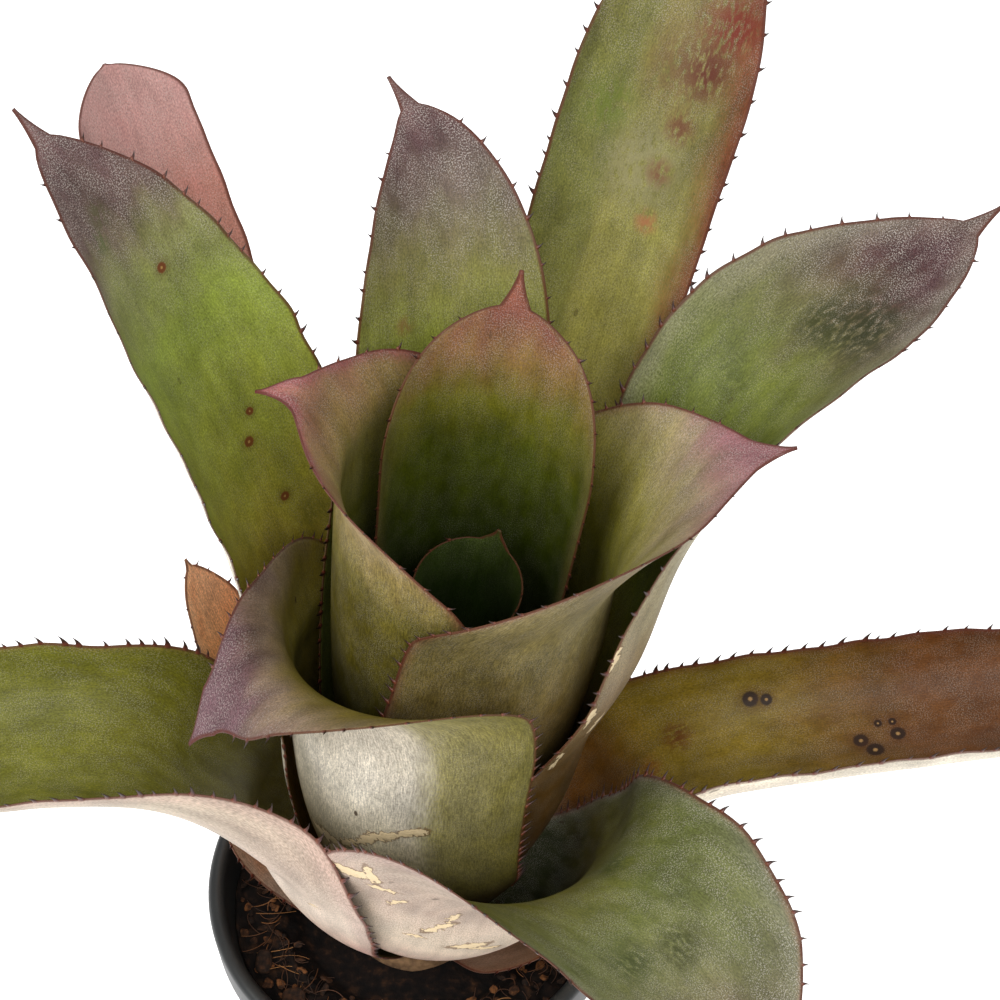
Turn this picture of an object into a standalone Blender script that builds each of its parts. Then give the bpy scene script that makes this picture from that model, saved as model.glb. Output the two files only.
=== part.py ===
"""A potted tank bromeliad: broad spiny leaves nested round a stump, in bark mix, in a nursery pot.

Metres, +Z up. The origin is the centre of the pot's underside and the front of the plant faces -Y.
Leaf sizes are written in millimetres in the plant's own frame: `out` from the stem's axis, `up`
along it from where the outermost leaf grows, and headings in degrees from +X towards +Y.
"""

import math
import random
from dataclasses import dataclass

import bmesh
import bpy
import numpy as np
from mathutils import Matrix, Vector

MM = 0.001
COLLECTION = "potted_bromeliad"

# The pot is a 15 cm nursery pot, and everything else is sized from it.
POT_RIM_DIAMETER = 150.0
POT_HEIGHT = 135.0
POT_BASE_DIAMETER = 106.0
POT_WALL = 2.2
POT_FLOOR = 2.4
LIP_WIDTH = 6.0
RIM_BAND_HEIGHT = 18.0
RIM_STEP = 3.4
DRAIN_HOLES = 6
DRAIN_DIAMETER = 9.0
DRAIN_RING_RADIUS = 34.0
ROUND_STEPS = 48
FLOOR_CORNER = (3.0, 3.6)  # inside the pot, as (in, up)
FOOT_CORNER = (1.5, 3.0)  # outside it
LIP_STEPS = 6
BAND_DRAFT = 0.8
BAND_CORNER = 0.8

GAP = 0.35  # between pieces that touch
SOIL_TOP = 119.0
SOIL_MOUND = 2.0
SOIL_FLAT_SHARE = 0.6  # of its radius
SOIL_EDGE_SHARE = 0.85
PIT_FOOT = -3.0
PIT_MOUTH = 16.0
PIT_CLEARANCE = 2.3  # beyond the outermost leaf's middle surface

# The plant leans a little to the right in its pot.
PLANT_FOOT = (0.0, 0.0, 112.0)
PLANT_LEAN = 6.4

# Leaf bases climb the stump: rank 0 is the innermost leaf and 13 the outermost.
OUTER_RANK = 13
STUMP_TOP_RADIUS = 4.0
STUMP_TOP_HEIGHT = 40.0
BASE_OUT_STEP = 1.85
BASE_DOWN_STEP = 3.1
STUMP_INSET = 1.4
STUMP_CORNER = 1.8

# The sheaths are nested tubes. Ranks 0 and 1 stand free in the cup that the others make.
SHOULDERS = ((0, 17.0), (1, 33.0), (2, 43.5), (5, 51.0), (7, 58.5), (9, 67.0), (13, 80.0))
SWELL_HEIGHT = 22.0
SWELL_HEIGHT_STEP = 3.3

LEAF_THICKNESS = 1.1
LEAF_ROWS = 12
TAPER_ROWS = 5
LEAF_COLUMNS = 10
WIDEST_WRAP = 5.2  # radians that a sheath may wrap round the axis
TIP_WIDTH = 1.0
MUCRO_SHARE = 0.09  # of the width, where the hard point starts

CHIP_SEED = 7
CHIP_HEADINGS = (207, 226, 243, 259, 96, 74, 118, 335)
CHIP_RING_RADIUS = 60.5
CHIP_SIZE = (13.0, 7.5, 4.0)


@dataclass(frozen=True)
class Leaf:
    """One leaf. `reach` continues its midrib past the sheath, as (out, up) or (out, up, turn)."""

    name: str
    rank: int
    heading: float
    sheath_top: float
    reach: tuple
    width: tuple  # (share of the length, width) pairs
    fold: float  # radius of the blade's channel
    taper: float  # length over which the blade narrows to its point
    mucro: float = 12.0  # length of the hard point itself
    blend: float = 0.22  # share of the length over which the sheath opens into the blade
    point: float = 0.8  # under 1 is a rounded end, over 1 a drawn-out one
    base_turn: float = 0.0  # the sheath's heading, less the blade's
    shift: tuple = ((0, 0),)  # (share, how far the midrib sits off centre, in half widths)
    slant: tuple = ((0, 0),)  # (share, rise of one margin over the other)


LEAVES = (
    Leaf(
        "leaf_01_heart", 0, 60, 188, ((17.5, 202),),
        ((0, 40), (0.5, 80), (1, 110)), fold=18, taper=25, mucro=6,
    ),
    Leaf(
        "leaf_02_cup_back", 1, 82, 255, ((36, 270), (41, 287)),
        ((0, 40), (0.3, 70), (0.7, 84), (1, 90)), fold=36, taper=42, blend=0.1,
    ),
    Leaf(
        "leaf_03_cup_left", 2, 172, 240, ((49, 252), (57, 263), (68, 261)),
        ((0, 40), (0.3, 100), (0.6, 140), (1, 145)), fold=50, taper=52, blend=0.1, point=1.1,
    ),
    Leaf(
        "leaf_04_cup_right", 3, 0, 222, ((54, 243), (69, 257), (87, 265)),
        ((0, 40), (0.3, 110), (0.6, 134), (0.8, 130), (1, 110)), fold=55, taper=60, blend=0.15,
        point=1.1, base_turn=-25, shift=((0, 0), (0.3, -0.3), (0.8, -0.3), (1, 0)),
    ),
    Leaf(
        "leaf_05_back", 4, 103, 215, ((55, 246), (70, 275), (90, 294, 2), (110, 302, 6)),
        ((0, 40), (0.3, 100), (0.6, 88), (0.75, 63), (1, 60)), fold=42, taper=70,
    ),
    Leaf(
        "leaf_06_right", 5, 28, 150, ((58, 180), (69, 221), (95, 249), (137, 271.5), (172, 292.5)),
        ((0, 60), (0.3, 108), (0.5, 94), (0.65, 78), (0.8, 76), (1, 76)), fold=38, taper=80, blend=0.35,
        shift=((0, 0), (0.2, -0.2), (0.36, -0.4), (0.55, -0.5), (0.7, -0.15), (0.85, 0)),
    ),
    Leaf(
        "leaf_07_front_lip", 6, 215, 172, ((63, 187), (76, 196), (87, 192), (97, 179)),
        ((0, 60), (0.1, 110), (0.3, 145), (0.7, 148), (0.82, 138), (1, 130)),
        fold=70, taper=52, blend=0.15, point=1.6, shift=((0, 0), (0.6, 0), (0.85, -0.15), (1, -0.15)),
        slant=((0, 0), (0.5, 0.1), (0.8, 0.55), (1, 0.5)),
    ),
    Leaf(
        "leaf_08_left", 7, 155, 125,
        ((64, 150), (75, 178), (86, 204), (106, 245), (127, 284), (155, 309)),
        ((0, 60), (0.1, 100), (0.35, 94), (0.6, 78), (0.85, 74), (1, 72)), fold=38, taper=90,
        shift=((0, 0), (0.3, -0.2), (0.6, -0.1), (0.8, 0)),
    ),
    Leaf(
        "leaf_09_tall_back", 8, 66, 140,
        ((76, 200), (94, 250), (115, 295), (140, 340), (158, 370)),
        ((0, 50), (0.1, 70), (0.3, 68), (0.5, 59), (1, 60)), fold=42, taper=70,
    ),
    Leaf(
        "leaf_10_front_right", 9, 310, 92,
        ((72, 112), (93, 124), (120, 127), (148, 116), (166, 99)),
        ((0, 60), (0.1, 120), (0.3, 150), (0.45, 140), (0.65, 92), (1, 80)), fold=55, taper=70,
        shift=((0, 0), (0.3, -0.15), (0.5, -0.2), (0.7, 0)),
        slant=((0, 0), (0.2, -0.2), (0.4, -0.3), (0.6, -0.35), (0.8, 0)),
    ),
    Leaf(
        "leaf_11_low_left", 10, 189, 74,
        ((78, 92), (96, 105), (120, 111), (150, 111), (190, 107), (235, 98)),
        ((0, 60), (0.1, 90), (0.25, 112), (0.4, 108), (0.55, 82), (1, 84)), fold=31, taper=80, base_turn=4,
        shift=((0, 0), (0.1, 0), (0.25, 0.15), (0.4, 0.25), (0.5, 0.05), (0.6, 0)),
        slant=((0, 0), (0.1, 0.2), (0.25, 0.3), (0.4, 0.2), (0.6, 0)),
    ),
    Leaf(
        "leaf_12_low_right", 11, 5, 50,
        ((74, 78), (92, 93), (120, 102), (160, 111), (220, 124), (265, 131)),
        ((0, 60), (0.1, 96), (0.25, 88), (0.45, 74), (1, 72)), fold=25, taper=80,
    ),
    Leaf(
        "leaf_13_pink_cut", 12, 137, 95, ((80, 130), (131, 232), (142, 250), (152, 266), (166, 290)),
        ((0, 44), (0.3, 46), (0.6, 46), (1, 44)), fold=36, taper=18, mucro=1, base_turn=-8,
    ),
    Leaf(
        "leaf_14_dead", 13, 155, 60, ((80, 95), (90, 120), (99, 144)),
        ((0, 50), (0.3, 60), (0.6, 34), (1, 26)), fold=30, taper=30, mucro=4,
    ),
)


def smooth_values(pairs, at):
    """Values at `at` on a smooth curve through (place, value) pairs that never overshoots them."""
    places = np.array([pair[0] for pair in pairs], float)
    values = np.array([pair[1] for pair in pairs], float)
    at = np.clip(np.asarray(at, float), places[0], places[-1])
    if len(places) == 1:
        return np.full_like(at, values[0])
    steps = np.diff(places)
    slopes = np.diff(values) / steps
    tangents = np.concatenate([slopes[:1], np.zeros(len(places) - 2), slopes[-1:]])
    for i in range(1, len(places) - 1):
        if slopes[i - 1] * slopes[i] > 0:
            before = 2 * steps[i] + steps[i - 1]
            after = steps[i] + 2 * steps[i - 1]
            tangents[i] = (before + after) / (before / slopes[i - 1] + after / slopes[i])
    i = np.clip(np.searchsorted(places, at) - 1, 0, len(places) - 2)
    f = (at - places[i]) / steps[i]
    held = values[i] * (1 + 2 * f) * (1 - f) ** 2 + values[i + 1] * f * f * (3 - 2 * f)
    turned = tangents[i] * f * (1 - f) ** 2 + tangents[i + 1] * f * f * (f - 1)
    return held + turned * steps[i]


def smooth_path(points, per_span=16):
    """A centripetal Catmull-Rom curve through the points, as a dense polyline."""
    points = np.array(points, float)
    points = np.vstack([2 * points[0] - points[1], points, 2 * points[-1] - points[-2]])
    dense = []
    for a, b, c, d in zip(points, points[1:], points[2:], points[3:]):
        knots = np.cumsum([0] + [math.sqrt(np.linalg.norm(q - p)) for p, q in ((a, b), (b, c), (c, d))])
        for t in np.linspace(knots[1], knots[2], per_span, endpoint=False):
            ab = a + (b - a) * (t - knots[0]) / (knots[1] - knots[0])
            bc = b + (c - b) * (t - knots[1]) / (knots[2] - knots[1])
            cd = c + (d - c) * (t - knots[2]) / (knots[3] - knots[2])
            abc = ab + (bc - ab) * (t - knots[0]) / (knots[2] - knots[0])
            bcd = bc + (cd - bc) * (t - knots[1]) / (knots[3] - knots[1])
            dense.append(abc + (bcd - abc) * (t - knots[1]) / (knots[2] - knots[1]))
    return np.array(dense + [points[-2]])


def base_of(rank):
    """Where a leaf of this rank grows from the stump, as (out, up)."""
    return STUMP_TOP_RADIUS + BASE_OUT_STEP * rank, STUMP_TOP_HEIGHT - BASE_DOWN_STEP * rank


def sheath_radius(rank, up):
    """Radius of this rank's tube at a height: it swells from the stump to its shoulder."""
    out, foot = base_of(rank)
    shoulder = np.interp(rank, *zip(*SHOULDERS))
    swell = SWELL_HEIGHT + SWELL_HEIGHT_STEP * (OUTER_RANK - rank)
    return out + (shoulder - out) * (1 - math.exp(-max(up - foot, 0) / swell))


def midrib_points(leaf):
    """Control points of the midrib in the plant's frame: up the sheath, then along the blade."""
    out, foot = base_of(leaf.rank)
    polar = [(out, foot, leaf.base_turn)]
    heights = [foot + rise for rise in (12, 27, 50, 80, 115, 150, 190)]
    for up in [h for h in heights if h < leaf.sheath_top - 12] + [leaf.sheath_top]:
        share = (up - foot) / (leaf.sheath_top - foot)
        polar.append((sheath_radius(leaf.rank, up), up, leaf.base_turn * (1 - share)))
    polar += [(*point, 0)[:3] for point in leaf.reach]
    turned = [(out, up, math.radians(leaf.heading + turn)) for out, up, turn in polar]
    return [(out * math.cos(a), out * math.sin(a), up) for out, up, a in turned]


def row_places(length, leaf):
    """Distances from the base of the cross-sections, closer together towards the tip."""
    narrowing = leaf.taper + leaf.mucro
    body = np.linspace(0, length - narrowing, LEAF_ROWS)
    taper = np.linspace(length - narrowing, length - leaf.mucro, TAPER_ROWS + 1)
    return np.concatenate([body, taper[1:], [length - leaf.mucro / 2, length]])


def unit(vectors):
    return vectors / np.linalg.norm(vectors, axis=-1, keepdims=True)


def leaf_surface(leaf):
    """Rows of points across the leaf's middle surface, from its base to its tip, in millimetres.

    A sheath's rows are level arcs round the stem's axis, so that the layers nest. A blade's rows
    stand square to its midrib, as the arc of its channel.
    """
    path = smooth_path(midrib_points(leaf))
    along = np.concatenate([[0], np.cumsum(np.linalg.norm(np.diff(path, axis=0), axis=1))])
    length = along[-1]
    places = row_places(length, leaf)
    share = places / length
    ribs = np.stack([np.interp(places, along, path[:, k]) for k in range(3)], axis=1)
    steps = np.gradient(path, axis=0)
    forward = unit(np.stack([np.interp(places, along, steps[:, k]) for k in range(3)], axis=1))
    out = np.hypot(ribs[:, 0], ribs[:, 1])

    leaves_sheath = along[np.argmax(path[:, 2] >= leaf.sheath_top - 1)] / length
    opened = min(leaves_sheath + leaf.blend, 0.98)
    blade = smooth_values(((0, 0), (leaves_sheath * 0.95, 0), (opened, 1), (1, 1)), share)[:, None]

    normal = unit(forward * blade + np.array([0, 0, 1.0]) * (1 - blade))
    sideways = np.stack([-ribs[:, 1], ribs[:, 0], 0 * out], axis=1)
    sideways = unit(sideways - np.sum(sideways * normal, axis=1, keepdims=True) * normal)
    inward = np.cross(normal, sideways)

    to_tip = length - places
    narrow = np.clip((to_tip - leaf.mucro) / leaf.taper, 0, 1)
    point = MUCRO_SHARE * np.minimum(1, to_tip / leaf.mucro) ** 1.5
    width = smooth_values(leaf.width, share)
    width = width * (point + (1 - MUCRO_SHARE) * np.sin(math.pi / 2 * narrow) ** leaf.point) + TIP_WIDTH
    width = np.minimum(width, WIDEST_WRAP * out)

    columns = np.linspace(-1, 1, LEAF_COLUMNS + 1)
    across = (columns[None, :] + smooth_values(leaf.shift, share)[:, None]) * width[:, None] / 2
    bend = (1 - blade) / out[:, None] + blade / leaf.fold
    aside = np.sin(bend * across) / bend
    lift = (1 - np.cos(bend * across)) / bend
    rise = aside * smooth_values(leaf.slant, share)[:, None]
    rows = ribs[:, None, :] + sideways[:, None, :] * aside[..., None]
    return rows + inward[:, None, :] * lift[..., None] + normal[:, None, :] * rise[..., None]


def plant_frame():
    """Places the plant's own frame, in metres, in the pot's."""
    foot = Matrix.Translation(Vector(PLANT_FOOT) * MM)
    return foot @ Matrix.Rotation(math.radians(PLANT_LEAN), 4, "Y")


def clear_scene():
    for thing in list(bpy.data.objects):
        bpy.data.objects.remove(thing, do_unlink=True)


def collection_named(name):
    group = bpy.data.collections.new(name)
    bpy.context.scene.collection.children.link(group)
    return group


def principled(name, colour, roughness, metallic=0.0):
    material = bpy.data.materials.new(name)
    material.use_nodes = True
    shader = material.node_tree.nodes["Principled BSDF"]
    shader.inputs["Base Color"].default_value = (*colour, 1)
    shader.inputs["Roughness"].default_value = roughness
    shader.inputs["Metallic"].default_value = metallic
    return material


def add_object(name, mesh, group, material, matrix=None):
    thing = bpy.data.objects.new(name, mesh)
    group.objects.link(thing)
    if material:
        mesh.materials.append(material)
    if matrix is not None:
        thing.matrix_world = matrix
    return thing


def turned(name, profile, group, material, matrix=None):
    """A closed solid of revolution. The profile runs axis to axis, and down its outer side."""
    mesh = bpy.data.meshes.new(name)
    vertices = [(out * MM, 0, up * MM) for out, up in profile]
    mesh.from_pydata(vertices, [(i, i + 1) for i in range(len(vertices) - 1)], [])
    thing = add_object(name, mesh, group, material, matrix)
    screw = thing.modifiers.new("turn", "SCREW")
    screw.steps = screw.render_steps = ROUND_STEPS
    screw.use_merge_vertices = True
    screw.merge_threshold = 0.00001
    screw.use_smooth_shade = True
    return thing


def cutter(name, group, radius_low, radius_high, low, high, matrix):
    """A cone or cylinder that only cuts, in millimetres along its own axis."""
    mesh = bpy.data.meshes.new(name)
    build = bmesh.new()
    bmesh.ops.create_cone(
        build, cap_ends=True, segments=ROUND_STEPS // 2, depth=(high - low) * MM,
        radius1=radius_low * MM, radius2=radius_high * MM,
        matrix=Matrix.Translation((0, 0, (high + low) / 2 * MM)),
    )
    build.to_mesh(mesh)
    build.free()
    thing = add_object(name, mesh, group, None, matrix)
    thing.hide_render = True
    thing.display_type = "WIRE"
    return thing


def cut(thing, tool):
    modifier = thing.modifiers.new(f"cut_{tool.name}", "BOOLEAN")
    modifier.operation = "DIFFERENCE"
    modifier.object = tool


def arc(centre, radius, start, end, steps):
    angles = np.radians(np.linspace(start, end, steps + 1))
    return [(centre[0] + radius * math.cos(a), centre[1] + radius * math.sin(a)) for a in angles]


def wall_radius(up):
    """The pot's inner wall, which leans out from the floor to the lip."""
    base = POT_BASE_DIAMETER / 2 - POT_WALL
    lip = POT_RIM_DIAMETER / 2 - LIP_WIDTH
    return base + (lip - base) * up / POT_HEIGHT


def soil_height(radius):
    """Top of the potting mix at a distance from the pot's axis: a low mound that falls to its edge."""
    edge = wall_radius(SOIL_TOP) - GAP
    places = (0, SOIL_FLAT_SHARE * edge, SOIL_EDGE_SHARE * edge, edge)
    return SOIL_TOP + SOIL_MOUND * np.interp(radius, places, (1, 0.8, 0.2, 0))


def make_pot(group, tools):
    rim = POT_RIM_DIAMETER / 2
    base = POT_BASE_DIAMETER / 2
    lip = LIP_WIDTH / 2
    band_foot = POT_HEIGHT - RIM_BAND_HEIGHT
    corner_in, corner_up = FLOOR_CORNER
    foot_in, foot_up = FOOT_CORNER
    floor_edge = POT_FLOOR + corner_up
    profile = [(0, POT_FLOOR), (wall_radius(POT_FLOOR) - corner_in, POT_FLOOR)]
    profile += [(wall_radius(floor_edge), floor_edge)]
    profile += arc((rim - lip, POT_HEIGHT - lip), lip, 180, 0, LIP_STEPS)
    profile += [(rim - BAND_DRAFT, band_foot), (rim - BAND_DRAFT - BAND_CORNER, band_foot - BAND_CORNER)]
    profile += [(rim - RIM_STEP, band_foot - 2 * BAND_CORNER)]
    profile += [(base, foot_up), (base - foot_in, 0), (0, 0)]
    pot = turned("pot", profile, group, principled("charcoal_plastic", (0.035, 0.038, 0.04), 0.5))
    for i in range(DRAIN_HOLES):
        turn = Matrix.Rotation(2 * math.pi * i / DRAIN_HOLES, 4, "Z")
        place = turn @ Matrix.Translation((DRAIN_RING_RADIUS * MM, 0, 0))
        radius = DRAIN_DIAMETER / 2
        cut(pot, cutter(f"drain_{i + 1}", tools, radius, radius, -5, POT_FLOOR + 5, place))
    return pot


def make_potting_mix(group, tools):
    floor = POT_FLOOR + GAP
    edge = wall_radius(SOIL_TOP) - GAP
    corner_in, corner_up = FLOOR_CORNER
    floor_edge = floor + corner_up
    rings = [edge * share for share in (0, SOIL_FLAT_SHARE, SOIL_EDGE_SHARE, 1)]
    profile = [(radius, soil_height(radius)) for radius in rings]
    profile += [(wall_radius(floor_edge) - GAP, floor_edge)]
    profile += [(wall_radius(floor) - corner_in - GAP, floor), (0, floor)]
    mix = turned("potting_mix", profile, group, principled("bark_mix", (0.03, 0.02, 0.015), 0.95))
    low = sheath_radius(OUTER_RANK, PIT_FOOT) + PIT_CLEARANCE
    high = sheath_radius(OUTER_RANK, PIT_MOUTH) + PIT_CLEARANCE
    cut(mix, cutter("root_pit", tools, low, high, PIT_FOOT, PIT_MOUTH, plant_frame()))
    return mix


def make_stump(group):
    out, foot = base_of(OUTER_RANK)
    top, height = base_of(0)
    profile = [(0, height), (top - STUMP_INSET, height), (out - STUMP_INSET, foot)]
    profile += [(out - STUMP_INSET - STUMP_CORNER, foot - STUMP_CORNER), (0, foot - STUMP_CORNER)]
    material = principled("stump", (0.2, 0.13, 0.07), 0.8)
    return turned("stump", profile, group, material, plant_frame())


def make_leaf(leaf, group, material):
    rows = leaf_surface(leaf) * MM
    mesh = bpy.data.meshes.new(leaf.name)
    across = rows.shape[1]
    faces = []
    for i in range(rows.shape[0] - 1):
        for j in range(across - 1):
            corner = i * across + j
            faces.append((corner, corner + across, corner + across + 1, corner + 1))
    mesh.from_pydata(rows.reshape(-1, 3).tolist(), [], faces)
    mesh.shade_smooth()
    thing = add_object(leaf.name, mesh, group, material, plant_frame())
    shell = thing.modifiers.new("thickness", "SOLIDIFY")
    shell.thickness = LEAF_THICKNESS * MM
    shell.offset = 0
    return thing


def make_leaves(group):
    green = principled("leaf_green", (0.16, 0.2, 0.06), 0.5)
    others = {
        "leaf_13_pink_cut": principled("leaf_pink", (0.55, 0.33, 0.28), 0.55),
        "leaf_14_dead": principled("leaf_dead", (0.6, 0.33, 0.13), 0.8),
    }
    return [make_leaf(leaf, group, others.get(leaf.name, green)) for leaf in LEAVES]


def make_chips(group):
    """Flakes of bark that lie on the mix, between the plant and the rim."""
    bark = principled("bark_chip", (0.2, 0.09, 0.04), 0.85)
    pick = random.Random(CHIP_SEED)
    for number, heading in enumerate(CHIP_HEADINGS, start=1):
        name = f"bark_chip_{number:02d}"
        mesh = bpy.data.meshes.new(name)
        build = bmesh.new()
        bmesh.ops.create_icosphere(build, subdivisions=1, radius=0.5)
        size = [side * pick.uniform(0.8, 1.1) for side in CHIP_SIZE]
        for vertex in build.verts:
            uneven = pick.uniform(0.85, 1.0)
            vertex.co = Vector(c * s * uneven * MM for c, s in zip(vertex.co, size))
        lowest = min(vertex.co.z for vertex in build.verts)
        build.to_mesh(mesh)
        build.free()
        angle = math.radians(heading)
        high = (soil_height(CHIP_RING_RADIUS - size[1] / 2) + GAP) * MM - lowest
        place = Matrix.Rotation(angle, 4, "Z") @ Matrix.Translation((CHIP_RING_RADIUS * MM, 0, high))
        turn = Matrix.Rotation(math.radians(90 + pick.uniform(-20, 20)), 4, "Z")
        add_object(name, mesh, group, bark, place @ turn)


def main():
    clear_scene()
    group = collection_named(COLLECTION)
    tools = collection_named("cutters")
    make_pot(group, tools)
    make_potting_mix(group, tools)
    make_stump(group)
    make_leaves(group)
    make_chips(group)


main()
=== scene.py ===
"""The looks of a potted tank bromeliad: scurfy, spiny leaves in bark mix, in a plastic nursery pot.

Metres in the CAD model's frame. Leaf sizes are in millimetres in the plant's own frame, as in the
part's source: `out` from the stem's axis, `up` along it, and headings in degrees from +X to +Y.
"""

import math
import random
from dataclasses import dataclass

import bmesh
import bpy
import numpy as np
from mathutils import Matrix, Vector, noise


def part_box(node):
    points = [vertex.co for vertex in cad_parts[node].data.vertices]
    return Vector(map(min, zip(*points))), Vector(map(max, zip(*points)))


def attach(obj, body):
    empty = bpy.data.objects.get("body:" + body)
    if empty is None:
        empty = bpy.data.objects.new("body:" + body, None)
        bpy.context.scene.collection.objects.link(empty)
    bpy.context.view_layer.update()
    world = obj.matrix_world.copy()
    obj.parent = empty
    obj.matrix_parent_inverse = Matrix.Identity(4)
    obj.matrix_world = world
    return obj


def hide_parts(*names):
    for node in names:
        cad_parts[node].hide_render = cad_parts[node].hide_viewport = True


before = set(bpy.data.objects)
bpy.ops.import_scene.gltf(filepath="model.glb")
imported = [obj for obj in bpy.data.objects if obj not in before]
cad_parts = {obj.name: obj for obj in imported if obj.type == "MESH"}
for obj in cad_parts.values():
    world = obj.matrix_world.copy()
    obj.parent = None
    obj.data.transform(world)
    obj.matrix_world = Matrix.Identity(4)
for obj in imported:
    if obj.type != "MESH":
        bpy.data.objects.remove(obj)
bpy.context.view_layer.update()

MM = 0.001


# ---------------------------------------------------------------- sizes shared with the solids

POT_RIM_DIAMETER = 150.0
POT_HEIGHT = 135.0
POT_BASE_DIAMETER = 106.0
POT_WALL = 2.2
POT_FLOOR = 2.4
LIP_WIDTH = 6.0
RIM_BAND_HEIGHT = 18.0
RIM_STEP = 3.4
BAND_DRAFT = 0.8
DRAIN_HOLES = 6
DRAIN_DIAMETER = 9.0
DRAIN_RING_RADIUS = 34.0
SOIL_TOP = 119.0
SOIL_MOUND = 2.0
PLANT_FOOT = (0.0, 0.0, 112.0)
PLANT_LEAN = 6.4
OUTER_RANK = 13
STUMP_TOP_RADIUS = 4.0
STUMP_TOP_HEIGHT = 40.0
BASE_OUT_STEP = 1.85
BASE_DOWN_STEP = 3.1
STUMP_INSET = 1.4
SHOULDERS = ((0, 17.0), (1, 33.0), (2, 43.5), (5, 51.0), (7, 58.5), (9, 67.0), (13, 80.0))
SWELL_HEIGHT = 22.0
SWELL_HEIGHT_STEP = 3.3
WIDEST_WRAP = 5.2
TIP_WIDTH = 1.0
MUCRO_SHARE = 0.09
SHEATH_RISES = (12, 27, 50, 80, 115, 150, 190)  # the midrib's control points, above the leaf's base


# ---------------------------------------------------------------- how finely the looks are made

BODY_ROWS = 84
TAPER_ROWS = 44
MUCRO_ROWS = 7
HALF_COLUMNS = 20
MIDDLE_THICKNESS = 1.25
MARGIN_THICKNESS = 0.5
MARGIN_BULGE = 0.4  # in margin thicknesses
THIN_SHARE = 0.4  # of the thickness is left where the leaf is narrowest
LATHE_STEPS = 160
WAVE_WIDTH = 40.0  # mm: narrower blades have straighter margins
WAVE_LENGTHS = (19.0, 31.0, 53.0)
WAVE_HEIGHT = 1.1
UV_SIDE_OFFSET = 0.4  # m, keeps the two sides of a leaf apart in the map


# ---------------------------------------------------------------- the leaves' shapes

@dataclass(frozen=True)
class Leaf:
    """One leaf's shape. `reach` continues its midrib past the sheath, as (out, up) or (out, up, turn)."""

    name: str
    rank: int
    heading: float
    sheath_top: float
    reach: tuple
    width: tuple  # (share of the length, width) pairs
    fold: float  # radius of the blade's channel
    taper: float  # length over which the blade narrows to its point
    mucro: float = 12.0  # length of the hard point itself
    blend: float = 0.22  # share of the length over which the sheath opens into the blade
    point: float = 0.8  # under 1 is a rounded end, over 1 a drawn-out one
    base_turn: float = 0.0  # the sheath's heading, less the blade's
    shift: tuple = ((0, 0),)  # (share, how far the midrib sits off centre, in half widths)
    slant: tuple = ((0, 0),)  # (share, rise of one margin over the other)


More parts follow.
